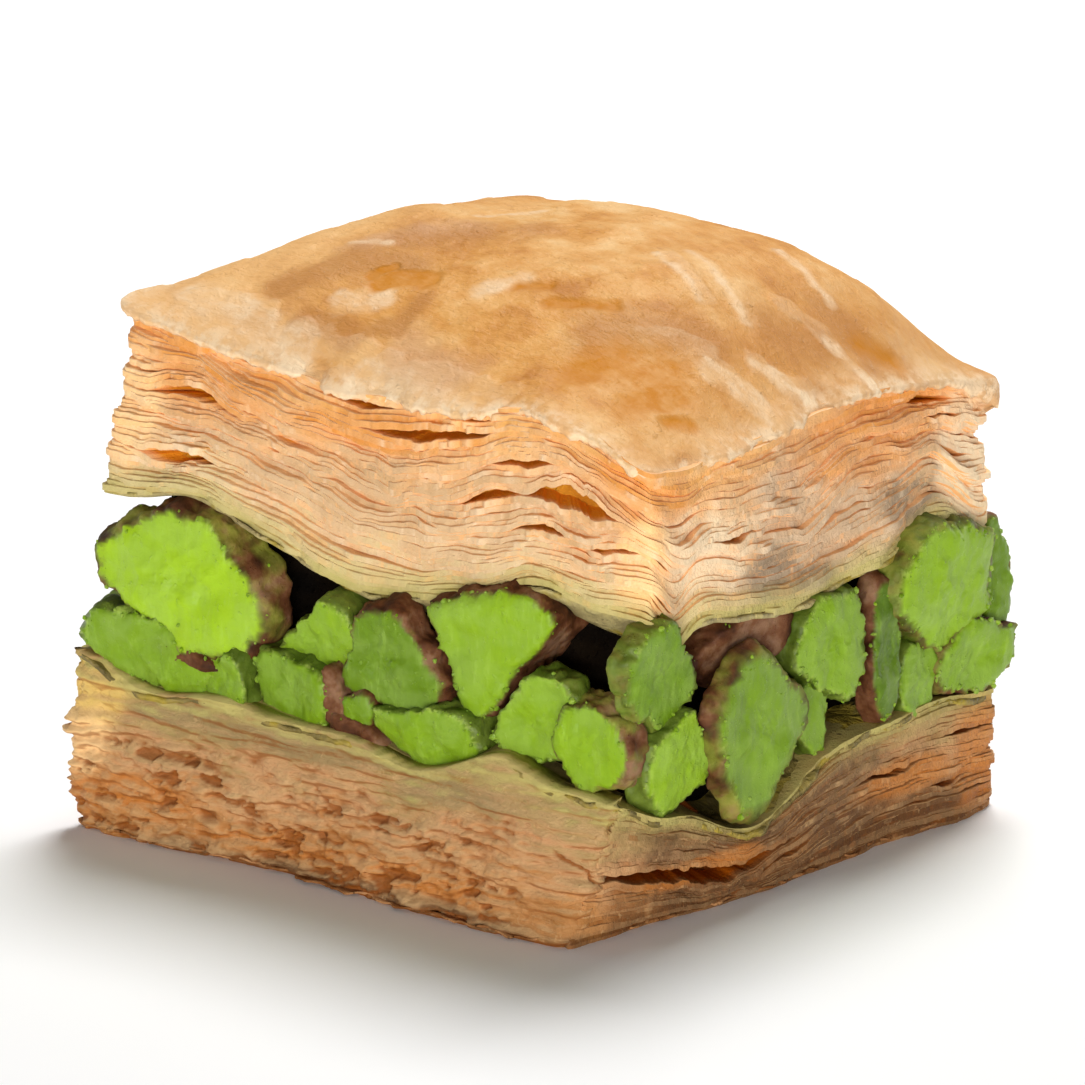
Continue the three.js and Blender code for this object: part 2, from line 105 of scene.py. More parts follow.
# Marks on the crust: from x, y to x, y in millimetres, half width, softness of the outline.
CRUST_MARKS = {
    "amber": [
        (-6, -8.2, -3.7, -6.4, 0.95, 0.3), (-7.4, -7.6, -6.4, -6.6, 0.5, 0.25),
        (12.4, -9.4, 15, -6, 1.5, 1), (15.8, -9.2, 16.6, -6.6, 1.1, 0.9), (3, -5.2, 4.7, -4.3, 0.5, 1),
        (6, -5.8, 9.6, -3.9, 0.4, 1.2), (17.6, 10.4, 18.8, 12.4, 0.6, 1.2),
        (17.9, -8.6, 18.6, -7.4, 0.4, 1),
    ],
    "brown": [
        (-12.3, -10.6, -9, -6, 1.3, 0.6), (-9.6, -6.6, -5.2, -5.4, 1.6, 0.9),
        (-9.2, -12.2, -5.2, -12, 0.8, 0.5), (-5.2, -12, -2.6, -10.6, 0.8, 0.6),
        (-2.4, -10.4, -2.4, -8.4, 0.7, 0.6), (10.4, -6.2, 14.6, -1.4, 1.6, 0.9),
        (16, 10.8, 18.6, 12, 1.6, 0.8), (15.6, 4, 17.4, 6.4, 1.5, 0.9), (-8, -3.4, -2, 2, 1.2, 1.3),
    ],
    "grey": [(-0.5, -11.6, 3.6, -12.2, 1.5, 1), (-10.5, -5, -6, 0, 1, 1.2)],
    "pale": [
        (1, -6.2, 2.6, -4.8, 0.9, 0.6), (-11.6, -4.9, -9, -4.2, 0.3, 0.6),
        (-7, 2.2, -5, 6.2, 0.3, 0.8), (7.4, 2.9, 12.6, 1, 0.3, 0.9), (8, 5.5, 14.8, 2.7, 0.35, 0.9),
        (10, 11.9, 14.8, 11, 0.35, 0.9), (17.4, 7.9, 19.6, 8.9, 0.45, 0.4),
        (16.5, -2.8, 18.6, -1.4, 0.8, 0.25), (17.4, 1, 19.6, 2.7, 0.5, 0.4),
        (-18.5, -12.5, -8, -13.4, 0.9, 0.9), (-3, -13.6, 0.5, -13.6, 0.7, 0.6),
        (-14.5, -12, -11, -12.6, 0.5, 0.6), (-7.5, -10.2, -5.2, -9, 0.8, 0.5),
    ],
}
# Where a broken flake of the crust still lies on it: from x, y to x, y, half width.
CRUST_FLAKES = [
    (16.3, -3, 18.9, -1.2, 0.95), (17.2, 0.6, 19.4, 3.2, 0.7), (12.6, -4.6, 15.4, -2, 0.9),
    (7.6, 3.4, 12.4, 1.2, 0.6), (14.6, 7, 18.4, 8.4, 0.8), (-9, -12.9, -3.2, -12.8, 0.8),
    (-1.5, -13.2, 4.5, -13.2, 0.9), (5, -12.6, 9, -13, 0.7), (-18, -12.6, -12.4, -12.8, 1.1),
]

# Slits between leaves: millimetres along the side, share of the wall's height, length, opening.
LID_SLITS = {
    "front": [
        (19.5, 0.96, 9, 0.6), (9, 0.95, 9, 0.7), (29, 0.93, 7, 0.4), (1.5, 0.95, 7, 0.9),
        (7, 0.61, 9, 1), (25.5, 0.85, 12, 0.9), (37, 0.53, 8.5, 1.7), (5, 0.27, 9.5, 1.1),
        (12, 0.66, 5, 0.6), (13, 0.5, 4, 0.45), (33, 0.67, 7, 0.8), (30.5, 0.52, 6, 0.7),
        (39.8, 0.36, 5, 0.6), (34.5, 0.4, 5, 0.5), (26, 0.66, 4, 0.4),
    ],
    "right": [(30, 0.72, 5, 0.5), (29, 0.84, 6, 0.9), (8, 0.5, 6, 0.6), (31, 0.52, 3.6, 0.4)],
    "back": [(12, 0.6, 10, 1.3), (29, 0.3, 8, 1)],
    "left": [(10, 0.3, 8, 1.2), (26, 0.75, 10, 1.3)],
}
BASE_SLITS = {
    "right": [
        (9, 0.46, 23, 1.25), (27, 0.58, 10, 0.7), (17, 0.36, 9, 0.5), (31.5, 0.3, 5, 0.6),
        (34, 0.72, 7, 0.4),
    ],
    "back": [(22, 0.4, 9, 1)],
    "left": [(30, 0.6, 8, 1)],
    "front": [(4.5, 0.4, 4.5, 0.8), (37, 0.12, 3, 0.5), (9, 0.17, 4, 0.5)],
}
# Places where the leaves are baked together: along, share of the height, reach.
LID_FUSED = {
    "front": [
        (43.5, 0.35, 2.2), (41.5, 0.78, 2.4), (1, 0.5, 1.6), (13.5, 0.25, 2.4), (21, 0.35, 2.6),
        (27, 0.25, 2),
    ],
    "right": [
        (1, 0.35, 2.6), (3, 0.85, 2.6), (8, 0.15, 3), (19, 0.85, 3.2), (14, 0.2, 3), (4.5, 0.25, 3.4),
        (20, 0.15, 3.4), (33, 0.66, 2.6), (24, 0.85, 3), (27, 0.9, 3),
    ],
}
BASE_FUSED = {
    "front": [(41.5, 0.8, 2.6), (41, 0.3, 2), (20, 0.75, 5), (9, 0.8, 4), (31, 0.8, 5)],
    "right": [(0.5, 0.7, 1.6), (38, 0.5, 2)],
}
# Marks on the walls: along, share of the height, reach along and upwards. The white highlight marks and the
# yellow glow marks are painted light on the corners and ends of the walls; the base's brown is partly
# painted shade on its right wall.
LID_MARKS = {
    "orange": {
        "right": [(22, 0.78, 8, 3.4), (30, 0.84, 6, 2.4), (1.5, 0.75, 2.6, 3)],
        "front": [
            (5, 0.9, 7, 1.2), (7.5, 0.72, 7, 2.4), (19, 0.8, 7, 1), (41, 0.92, 3.4, 1.6),
            (25, 0.88, 6, 0.8),
        ],
    },
    "brown": {"right": [(18, 0.46, 11, 6)]},
    "grey": {"right": [(14.6, 0.1, 4.6, 2.4), (12.6, 0.24, 3.4, 1.8), (26.5, 0.28, 3.4, 1.8)]},
    # Painted highlight: light caught at the far right end of the wall and near the near corner.
    "painted_highlight": {"right": [(33.4, 0.5, 4, 6), (6, 0.45, 4.5, 3)]},
    # Painted glow: light wrapping round the left corner and the near corner.
    "painted_glow": {"front": [(1, 0.5, 3.5, 4), (42.5, 0.35, 2, 3.6)]},
}
BASE_MARKS = {
    "orange": {
        "right": [(36.6, 0.6, 4, 4.5), (9, 0.5, 6.5, 1), (28, 0.5, 5, 1.2), (36, 0.78, 3, 1.2)],
        "front": [(5, 0.3, 7, 1.6), (17, 0.18, 7, 1), (30, 0.22, 6, 0.9), (2, 0.25, 3, 2.2)],
    },
    "brown": {
        # Brown here: the base's browner colour, and on the right wall also painted shade.
        "right": [(31, 0.14, 8, 2), (16, 0.5, 15, 6)],
        "front": [(26, 0.02, 22, 1)],
    },
    # Painted glow: light at the left end of the front.
    "painted_glow": {"front": [(1.5, 0.8, 3, 2.6)]},
    # Painted highlight: a lit spot at the left end of the front and a lit edge at the right end.
    "painted_highlight": {
        "front": [(0.8, 0.48, 3.4, 2.4)],
        "right": [(39.2, 0.75, 1.6, 3)],
    },
    "grey": {"front": [(18, 0.86, 9, 1), (31, 0.8, 5, 1.2), (9, 0.88, 5, 1)]},
}
MARK_KINDS = ("orange", "grey", "painted_highlight", "painted_glow", "brown")


def by_side(table):
    """The rows of a table, each with its side, or its kind, first."""
    return [(side, *row) for side, rows in table.items() for row in rows]


def edge_point(edge, side, share):
    """Points in millimetres along one side of a wavy edge; share runs from 0 to 1."""
    share = np.asarray(share, float)
    index = SIDES.index(side)
    start = np.array(edge["corners"][index], float)
    end = np.array(edge["corners"][(index + 1) % 4], float)
    length = np.linalg.norm(end - start)
    out = np.array([end[1] - start[1], start[0] - end[0], 0.0])
    out /= np.linalg.norm(out)
    point = start + (end - start) * share[..., None]
    for along, push, rise, spread in edge["swells"].get(side, ()):
        strength = np.exp(-0.5 * ((share * length - along) / spread) ** 2)
        strength = strength * np.sin(np.pi * np.clip(share, 0, 1)) ** 0.3
        point = point + out * (push * strength)[..., None]
        point[..., 2] += rise * strength
    return point


def sheet_point(edge, u, v):
    """Points of the soft sheet stretched between the four sides; u and v run from -1 to 1."""
    s = (np.asarray(u, float) + 1) / 2
    t = (np.asarray(v, float) + 1) / 2
    near, right, back, left = (np.array(c, float) for c in edge["corners"])
    s1, t1 = s[..., None], t[..., None]
    return (
        s1 * edge_point(edge, "right", t)
        + (1 - s1) * edge_point(edge, "left", 1 - t)
        + t1 * edge_point(edge, "back", 1 - s)
        + (1 - t1) * edge_point(edge, "front", s)
        - s1 * (1 - t1) * near
        - s1 * t1 * right
        - (1 - s1) * t1 * back
        - (1 - s1) * (1 - t1) * left
    )


def crust_rise(u, v, point):
    """How far the browned top swells over its rim, in millimetres."""

    def away(value, peak):
        return np.abs((value - peak) / np.where(value < peak, 1 + peak, 1 - peak))

    rise = CRUST_HEIGHT * (1 - away(u, CRUST_PEAK[0]) ** 2.8) * (1 - away(v, CRUST_PEAK[1]) ** 2.8)
    fade = 1 - rimward(u, v) ** 8
    for x, y, height, spread in CRUST_SWELLS:
        rise = rise + height * near_spot(point, x, y, spread) * fade
    return rise


def wall_place(edges, side, along, level):
    """A place on a wall between two edges, by millimetres along its side and share of its height."""
    low, high = edges
    index = SIDES.index(side)
    span = np.subtract(high["corners"][(index + 1) % 4], high["corners"][index])
    share = along / np.linalg.norm(span)
    return edge_point(low, side, share) * (1 - level) + edge_point(high, side, share) * level


def collection_of_pieces():
    """The collection that every finished piece goes into."""
    name = "Baklava"
    found = bpy.data.collections.get(name)
    if found is None:
        found = bpy.data.collections.new(name)
        bpy.context.scene.collection.children.link(found)
    return found


def new_piece(name, points, faces):
    """A smooth mesh object from points in millimetres."""
    mesh = bpy.data.meshes.new(name)
    mesh.from_pydata((np.asarray(points) * MM).tolist(), [], [list(map(int, f)) for f in faces])
    mesh.update()
    mesh.polygons.foreach_set("use_smooth", [True] * len(mesh.polygons))
    piece = bpy.data.objects.new(name, mesh)
    collection_of_pieces().objects.link(piece)
    return piece


def give_values(piece, name, values):
    """Stores one number, or one vector, at each point of a piece."""
    values = np.asarray(values, np.float32)
    kind = "FLOAT_VECTOR" if values.ndim == 2 else "FLOAT"
    attribute = piece.data.attributes.new(name, kind, "POINT")
    attribute.data.foreach_set("vector" if values.ndim == 2 else "value", values.ravel())


def hand_over(piece, node, material=None):
    """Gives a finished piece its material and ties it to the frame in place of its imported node."""
    if material:
        piece.data.materials.append(material)
    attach(piece, "root")
    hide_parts(node)


def apply_modifiers(piece):
    """Turns a piece and its modifiers into one plain mesh."""
    graph = bpy.context.evaluated_depsgraph_get()
    mesh = bpy.data.meshes.new_from_object(piece.evaluated_get(graph))
    piece.modifiers.clear()
    old = piece.data
    piece.data = mesh
    mesh.name = piece.name
    bpy.data.meshes.remove(old)


def face_outward(piece):
    """Recalculates the normals of a closed piece."""
    work = bmesh.new()
    work.from_mesh(piece.data)
    bmesh.ops.recalc_face_normals(work, faces=work.faces)
    work.to_mesh(piece.data)
    work.free()


def add(tree, kind, inlets=None, outlet=0, **settings):
    """Adds a node with its settings, feeds its inlets by name or number, and gives one outlet."""
    node = tree.nodes.new(kind)
    for label, value in settings.items():
        setattr(node, label, value)
    for label, value in (inlets or {}).items():
        if isinstance(value, (Sum, bpy.types.NodeSocket)):
            tree.links.new(getattr(value, "socket", value), node.inputs[label])
        else:
            node.inputs[label].default_value = value
    return Sum(tree, node.outputs[outlet])


class Sum:
    """A value in a node tree. Adding to it, scaling it or bending it adds the node that does so."""

    def __init__(self, tree, socket):
        self.tree = tree
        self.socket = socket
        self.vector = socket.type == "VECTOR"

    def math(self, operation, *others, clamp=False):
        inlets = dict(enumerate((self, *others)))
        return add(self.tree, "ShaderNodeMath", inlets, operation=operation, use_clamp=clamp)

    def arrow(self, operation, other=None):
        inlets = {0: self}
        if other is not None:
            inlets["Scale" if operation == "SCALE" else 1] = other
        outlet = 1 if operation == "LENGTH" else 0
        return add(self.tree, "ShaderNodeVectorMath", inlets, outlet, operation=operation)

    def either(self, operation, other):
        """Adds or subtracts, as vectors if either side is one."""
        vectors = self.vector or isinstance(other, tuple) or getattr(other, "vector", False)
        return (self.arrow if vectors else self.math)(operation, other)

    def __add__(self, other):
        return self.either("ADD", other)

    def __sub__(self, other):
        return self.either("SUBTRACT", other)

    def __mul__(self, other):
        if self.vector and isinstance(other, tuple):
            return self.arrow("MULTIPLY", other)
        if self.vector:
            return self.arrow("SCALE", other)
        return self.math("MULTIPLY", other)

    def __truediv__(self, other):
        return self.math("DIVIDE", other)

    def __rtruediv__(self, other):
        return self.math("POWER", -1.0) * other

    def __pow__(self, other):
        return self.math("POWER", other)

    __radd__ = __add__
    __rmul__ = __mul__

    def __neg__(self):
        return self * -1.0

    def __rsub__(self, other):
        return self.math("MULTIPLY", -1.0).math("ADD", other)

    def clamp(self):
        return self.math("ADD", 0.0, clamp=True)

    def step(self, low, high, start=0.0, end=1.0):
        """Eases from start to end as the value goes from low to high."""
        inlets = dict(enumerate((self, low, high, start, end)))
        return add(self.tree, "ShaderNodeMapRange", inlets, interpolation_type="SMOOTHSTEP")

    def part(self, axis):
        return add(self.tree, "ShaderNodeSeparateXYZ", {0: self}, axis)

    def upward(self):
        """A vector that points up by this value."""
        return add(self.tree, "ShaderNodeCombineXYZ", {"Z": self})

    def noise(self, scale, detail=2.0, roughness=0.5, distortion=0.0):
        """Smooth noise from 0 to 1 over this vector."""
        inlets = {"Vector": self, "Scale": scale, "Detail": detail, "Roughness": roughness}
        return add(self.tree, "ShaderNodeTexNoise", inlets | {"Distortion": distortion})

    def colours(self, *stops):
        """Turns the value into colours; stops are (place, hex colour)."""
        found = add(self.tree, "ShaderNodeValToRGB", {0: self})
        ramp = found.socket.node.color_ramp
        while len(ramp.elements) < len(stops):
            ramp.elements.new(0.5)
        for element, (place, colour) in zip(ramp.elements, stops):
            element.position = place
            element.color = rgba(colour)
        return found

    def mix(self, *colours):
        """Blends two colours by this value; 0 gives the first."""
        first, second = (rgba(colour) if isinstance(colour, str) else colour for colour in colours)
        return add(self.tree, "ShaderNodeMix", {"Factor": self, 6: first, 7: second}, 2, data_type="RGBA")

    def mix_value(self, first, second):
        """Blends two numbers by this value; 0 gives the first."""
        return add(self.tree, "ShaderNodeMix", {"Factor": self, 2: first, 3: second})


def rgba(text):
    """A hex colour as linear red, green, blue and full alpha."""
    parts = [int(text[i : i + 2], 16) / 255 for i in (1, 3, 5)]
    return (*[p / 12.92 if p <= 0.04045 else ((p + 0.055) / 1.055) ** 2.4 for p in parts], 1.0)


def joined(tree, *parts):
    """A vector from three values."""
    return add(tree, "ShaderNodeCombineXYZ", dict(enumerate(parts)))


def stored(tree, name, kind="FLOAT"):
    """A value that the mesh carries at each point, read inside Geometry Nodes."""
    return add(tree, "GeometryNodeInputNamedAttribute", {"Name": name}, "Attribute", data_type=kind)


def store(tree, geometry, name, value, domain="POINT"):
    """Writes a value onto the geometry under a name."""
    inlets = {"Geometry": geometry, "Name": name, "Value": value}
    return add(tree, "GeometryNodeStoreNamedAttribute", inlets, domain=domain)


def random_of(tree, key, seed, low=0.0, high=1.0):
    """A random number between low and high for each value of key."""
    return add(tree, "FunctionNodeRandomValue", {2: low, 3: high, "ID": key, "Seed": seed}, 1)


def new_tree(name, sockets):
    """A Geometry Nodes tree with a geometry input and output and named inputs: (name, kind, default)."""
    tree = bpy.data.node_groups.new(name, "GeometryNodeTree")
    for way in ("INPUT", "OUTPUT"):
        tree.interface.new_socket("Geometry", in_out=way, socket_type="NodeSocketGeometry")
    return tree, name_inputs(tree, sockets)


def name_inputs(tree, sockets):
    """Adds a tree's named inputs, and gives them all by name."""
    for label, kind, default in sockets:
        socket = tree.interface.new_socket(label, in_out="INPUT", socket_type="NodeSocket" + kind)
        if default is not None:
            socket.default_value = default
    source = tree.nodes.new("NodeGroupInput")
    return {s.name: Sum(tree, s) for s in source.outputs if s.name}


def end_tree(tree, geometry, material):
    """Ends a tree: real geometry, its material, and the output."""
    real = add(tree, "GeometryNodeRealizeInstances", {"Geometry": geometry})
    painted = add(tree, "GeometryNodeSetMaterial", {"Geometry": real, "Material": material})
    sink = tree.nodes.new("NodeGroupOutput")
    tree.links.new(painted.socket, sink.inputs["Geometry"])


def run_tree(piece, tree, values):
    """Runs a tree on a piece with its named inputs set, and keeps the plain result."""
    modifier = piece.modifiers.new(tree.name, "NODES")
    modifier.node_group = tree
    for item in tree.interface.items_tree:
        if item.in_out == "INPUT" and item.name in values:
            modifier[item.identifier] = values[item.name]
    apply_modifiers(piece)


def crease(piece):
    """Keeps the long edges of the leaves crisp and the rest smooth."""
    pairs = np.zeros(len(piece.data.edges) * 2, int)
    piece.data.edges.foreach_get("vertices", pairs)
    first, second = pairs.reshape(-1, 2).T
    count = len(LEAF_PROFILE)
    crisp = first % count == second % count
    sharp = piece.data.attributes.new("sharp_edge", "BOOLEAN", "EDGE")
    sharp.data.foreach_set("value", crisp)


def lumps(points, size, seed=0, octaves=2):
    """Smooth noise from -1 to 1 at each point; size is that of a lump in millimetres."""
    points = np.asarray(points, float)
    total = np.zeros(len(points))
    weight, whole = 1.0, 0.0
    for octave in range(octaves):
        place = points / size * 2**octave + 17.31 * (seed + 1) + 5.7 * octave
        cell = np.floor(place).astype(np.int64)
        share = place - cell
        share = share * share * share * (share * (share * 6 - 15) + 10)
        value = np.zeros(len(points))
        for corner in range(8):
            step = np.array([corner & 1, corner >> 1 & 1, corner >> 2 & 1])
            key = (cell + step) @ np.array([374761393, 668265263, 2147483647])
            key = (key ^ (key >> 13)) * 1274126177 & 0xFFFFFFFF
            key = (key ^ (key >> 16)) & 0xFFFF
            weights = np.where(step, share, 1 - share).prod(axis=1)
            value += weights * (key / 32767.5 - 1)
        total += weight * value
        whole += weight
        weight *= 0.5
    return total / whole


def ease(value, low, high):
    """0 below low, 1 above high, smooth between."""
    share = np.clip((np.asarray(value, float) - low) / (high - low), 0, 1)
    return share * share * (3 - 2 * share)


def loop_points(edge, counts):
    """Points all the way round an edge, with the given number on each side."""
    sides = [
        edge_point(edge, side, np.arange(count) / count) for side, count in zip(SIDES, counts)
    ]
    return np.concatenate(sides)


def closed_rings(rings, low_pole, high_pole):
    """Points and faces of a body of rings, with a pole closing each end."""
    count = len(rings[0])
    points = np.concatenate([*rings, [low_pole], [high_pole]])
    ring = np.arange(count)
    after = np.roll(ring, -1)
    faces = [f for row in range(len(rings) - 1) for f in np.stack(
        [ring, after, after + count, ring + count], axis=1) + row * count]
    tip, last = np.full(count, len(points) - 2), len(points) - 2 - count
    faces.extend(np.stack([after, ring, tip], axis=1))
    faces.extend(np.stack([ring + last, after + last, tip + 1], axis=1))
    return points, faces


def across(ahead):
    """The level direction square to each step along a loop."""
    out = np.stack([ahead[..., 1], -ahead[..., 0], 0 * ahead[..., 0]], axis=-1)
    return out / np.linalg.norm(out, axis=-1)[..., None]


def flat_and_out(points):
    """Points without their height, and the level direction away from the middle."""
    flat = points * (1, 1, 0)
    return flat, flat / np.maximum(np.linalg.norm(flat, axis=1), 1e-6)[:, None]


def rimward(u, v):
    """0 in the middle of a sheet, 1 at its rim."""
    return np.maximum(np.abs(u), np.abs(v))


def near_spot(flat, x, y, reach):
    """A soft spot round a place."""
    return np.exp(-0.5 * (np.hypot(flat[..., 0] - x, flat[..., 1] - y) / reach) ** 2)


def even_grid(rows):
    """Places from -1 to 1 both ways, row by row."""
    steps = np.linspace(-1, 1, rows + 1)
    v, u = np.meshgrid(steps, steps, indexing="ij")
    return u.ravel(), v.ravel()


def grid_faces(rows, columns):
    """Faces of a grid of points, and its rim in order."""
    grid = np.arange((rows + 1) * (columns + 1)).reshape(rows + 1, columns + 1)
    corners = grid[:-1, :-1], grid[:-1, 1:], grid[1:, 1:], grid[1:, :-1]
    rim = np.concatenate([grid[0, :-1], grid[:-1, -1], grid[-1, :0:-1], grid[:0:-1, 0]])
    return np.stack(corners, axis=-1).reshape(-1, 4), rim


def band_faces(ring, after):
    """Faces between two loops of as many points."""
    return np.stack([np.roll(ring, -1), ring, after, np.roll(after, -1)], axis=-1)


# The cross-section of one leaf: how far in each corner lies and whether it is on the lower or upper skin.
LEAF_PROFILE = [(0.0, 0.0), (0.0, 1.0), (0.03, 1.0), (1.0, 1.0), (1.0, 0.0), (0.03, 0.0)]


def soften_corners(points, edge, reach=1.3, rounds=30):
    """Rounds a loop of points off near the corners of its edge."""
    corners = np.array(edge["corners"], float)[:, :2]
    gap = np.linalg.norm(points[:, None, :2] - corners[None], axis=2).min(axis=1)
    share = (1 - ease(gap, reach * 0.4, reach))[:, None] * 0.5
    for _ in range(rounds):
        middle = (np.roll(points, 1, axis=0) + np.roll(points, -1, axis=0)) / 2
        points = points + (middle - points) * share
    return points


# Points along each side of a leaf's ribbon. The front of the base has its own crumbly face.
STRIP_POINTS = {"base_pastry": (340, 170, 170, 120), "lid_pastry": (300, 130, 130, 360)}
FACE_POINTS = (340, 170, 170, 340)


def leaf_strip(name, low, high, counts):
    """One leaf's ribbon round a wall, carrying the two edges that it lies between."""
    foot = soften_corners(loop_points(low, counts), low)
    top = soften_corners(loop_points(high, counts), high)
    out = across(np.roll(foot + top, -5, axis=0) - np.roll(foot + top, 5, axis=0))
    total, corners = len(foot), len(LEAF_PROFILE)
    faces = []
    for i in range(total):
        j = (i + 1) % total
        for k in range(corners):
            m = (k + 1) % corners
            faces.append((i * corners + k, j * corners + k, j * corners + m, i * corners + m))
    strip = new_piece(name, np.repeat(foot, corners, axis=0), faces)
    for label, values in (("foot", foot), ("top", top), ("outward", out)):
        give_values(strip, label, np.repeat(values, corners, axis=0))
    for label, values in zip(("inset", "skin"), zip(*LEAF_PROFILE)):
        give_values(strip, label, np.tile(values, total))
    return strip


# What a leaf tree can be given: label, kind and usual value.
LEAF_INPUTS = [
    ("Leaves", "Int", 20), ("First leaf", "Int", 0), ("All leaves", "Int", 40),
    ("Thickness", "Float", 0.8), ("Looseness", "Float", 0.6), ("Reach", "Float", 0.15),
    ("Waviness", "Float", 0.1), ("Bunching", "Float", 0.3), ("Raggedness", "Float", 0.2),
    ("Fraying", "Float", 0.08), ("Flaps", "Float", 0.0), ("Curl", "Float", 0.2),
    ("Crumbling", "Float", 0.0), ("Front recess", "Float", 0.0), ("Seed", "Int", 1),
    ("Material", "Material", None),
]


def leaf_tree(name, low, high, slits, fused):
    """Stacks a leaf's ribbon between two edges: wavy, ragged, apart at slits, together where fused."""
    tree, of = new_tree(name, LEAF_INPUTS)
    spots = add(tree, "GeometryNodeMeshLine", {"Offset": (0, 0, 0), "Count": of["Leaves"]})
    inlets = {"Points": spots, "Instance": of["Geometry"]}
    copies = add(tree, "GeometryNodeInstanceOnPoints", inlets)
    number = add(tree, "GeometryNodeInputIndex")
    stack = store(tree, copies, "leaf", number + 0.0, "INSTANCE")
    real = add(tree, "GeometryNodeRealizeInstances", {"Geometry": stack})

    foot, top, outward = (stored(tree, label, "FLOAT_VECTOR") for label in ("foot", "top", "outward"))
    inset, skin = (stored(tree, label) for label in ("inset", "skin"))
    leaf = stored(tree, "leaf") + of["First leaf"]
    shift = random_of(tree, leaf, 3, -0.22, 0.22)
    even = (leaf + 0.5 + shift) / of["All leaves"]
    rise = top - foot
    height = rise.arrow("LENGTH")
    flat = (foot + rise * even) * (1.0, 1.0, 0.0)
    seed = of["Seed"] * 7.3

    def field(spacing, along_leaves, detail=2.0):
        place = flat * (1.0 / spacing) + (along_leaves + seed).upward()
        return place.noise(1.0, detail) - 0.5

    wave = field(9.0, even * 2.2, 1.0) * of["Waviness"] * even * (1.0 - even) * 8.0
    ripple = field(3.2, even * 2.6, 2.0) * of["Waviness"] * even * (1.0 - even) * 2.4
    level = even + wave + ripple
    place = foot + rise * level

    push = None
    open_here = None
    for side, along, share, length, opening in by_side(slits):
        centre = wall_place((low, high), side, along, share)
        gap = (flat - (float(centre[0]), float(centre[1]), 0.0)).arrow("LENGTH") * (2.0 / length)
        bell = (1.0 - gap * gap).clamp() ** 1.5 * (flat * 0.6).noise(1.0, 3.0).step(0.3, 0.65, 0.5, 1.15)
        away = (even - share) * height
        near = (away.math("ABSOLUTE") * (-1.0 / (0.55 + 0.8 * opening))).math("EXPONENT")
        strength = bell * near * away.math("SIGN") * (opening / 2)
        mouth = bell * (away.math("ABSOLUTE") * -1.6).math("EXPONENT")
        push = strength if push is None else push + strength
        open_here = mouth if open_here is None else open_here + mouth

    baked = None
    for side, along, share, reach in by_side(fused):
        centre = wall_place((low, high), side, along, share)
        gap = (place - tuple(float(c) for c in centre)).arrow("LENGTH") * (1.0 / reach)
        spot = (gap * gap * -1.0).math("EXPONENT")
        baked = spot if baked is None else baked.math("MAXIMUM", spot)
    apart = 1.0 - baked

    front = -outward.part("Y")
    recess = of["Front recess"] * front.step(0.6, 0.9)
    ragged = field(3.0, leaf * 1.7) * of["Raggedness"] * 2.0
    bunch = field(7.0, even * 8.0, 1.0) * of["Bunching"] * 2.0
    torn = open_here.clamp() * 2.5 + 1.0
    fray = field(0.8, leaf * 3.1, 1.0) * of["Fraying"] * 2.0 * torn
    crumb = (flat * 0.9 + (even * height * 1.1).upward()).noise(1.0, 4.0, 0.65) - 0.5
    tip = 1.0 - inset
    split = field(4.2, even * 5.0, 3.0).step(-0.03, 0.14) * apart
    chosen = random_of(tree, leaf, 21).math("GREATER_THAN", 0.6)
    flap = chosen * field(3.0, leaf * 5.1, 2.0).step(-0.05, 0.4) * of["Flaps"]
    torn_edge = (ragged + fray + flap) * (apart * 0.35 + split * 0.65)
    proud = (torn_edge + bunch + crumb * of["Crumbling"] * 2.0) * tip - recess
    loose = field(2.6, leaf * 2.3, 3.0).step(0.05, 0.22) * of["Looseness"] * apart
    pitch = height / of["All leaves"]
    rim_thick = split.mix_value(pitch * 1.3, pitch * of["Thickness"] * (1.0 - loose))
    thick = inset.step(0.0, 0.02).mix_value(rim_thick, pitch * 1.5)
    curl = field(4.0, leaf * 0.15, 1.0) * of["Curl"] * 2.0 * tip
    sag = field(1.1, leaf * 0.6, 2.0) * 0.1 * tip * apart
    tatter = field(0.8, leaf * 2.7, 3.0).step(-0.15, 0.3) * (flap + open_here.clamp() * 0.25) * 0.7
    bent = push * (1.0 - inset * 0.35) + curl + sag + (skin - 0.5) * thick
    bent = bent - (1.0 - skin) * tip * tatter
    lift = bent.math("MINIMUM", (1.0 - level) * height).math("MAXIMUM", -level * height)
    final = place + outward * proud + lift.upward() - flat * (of["Reach"] * inset)

    geometry = add(tree, "GeometryNodeSetPosition", {"Geometry": real, "Position": final * MM})
    for label, value in (
        ("level", level), ("shade", random_of(tree, leaf, 9)), ("mouth", open_here.clamp()),
        ("proud", ragged + fray + flap + open_here.clamp() * 0.35), ("crumb", crumb * of["Crumbling"] + 0.5),
    ):
        geometry = store(tree, geometry, label, value)
    end_tree(tree, geometry, of["Material"])
    return tree


def wall_marks(piece, edges, marks, seed):
    """Gives each point of a wall how strongly each kind of mark covers it."""
    place = np.zeros(len(piece.data.vertices) * 3)
    piece.data.vertices.foreach_get("co", place)
    place = place.reshape(-1, 3) / MM
    waver = 0.45 * lumps(place, 2.4, seed, 3)
    for kind in MARK_KINDS:
        values = np.zeros(len(place))
        for side, along, share, reach, tall in by_side(marks.get(kind, {})):
            gap = (place - wall_place(edges, side, along, share)) / (reach, reach, tall)
            cover = 1 - ease(np.linalg.norm(gap, axis=1) + waver, 0.55, 1.2)
            values = np.maximum(values, cover)
        give_values(piece, kind, values)


def keep_values(piece, names):
    """Drops the helper values of a finished piece, apart from those its material reads."""
    values = piece.data.attributes
    helpers = [v.name for v in values if v.domain == "POINT" and not v.is_required and v.name not in names]
    for name in helpers:
        values.remove(values[name])


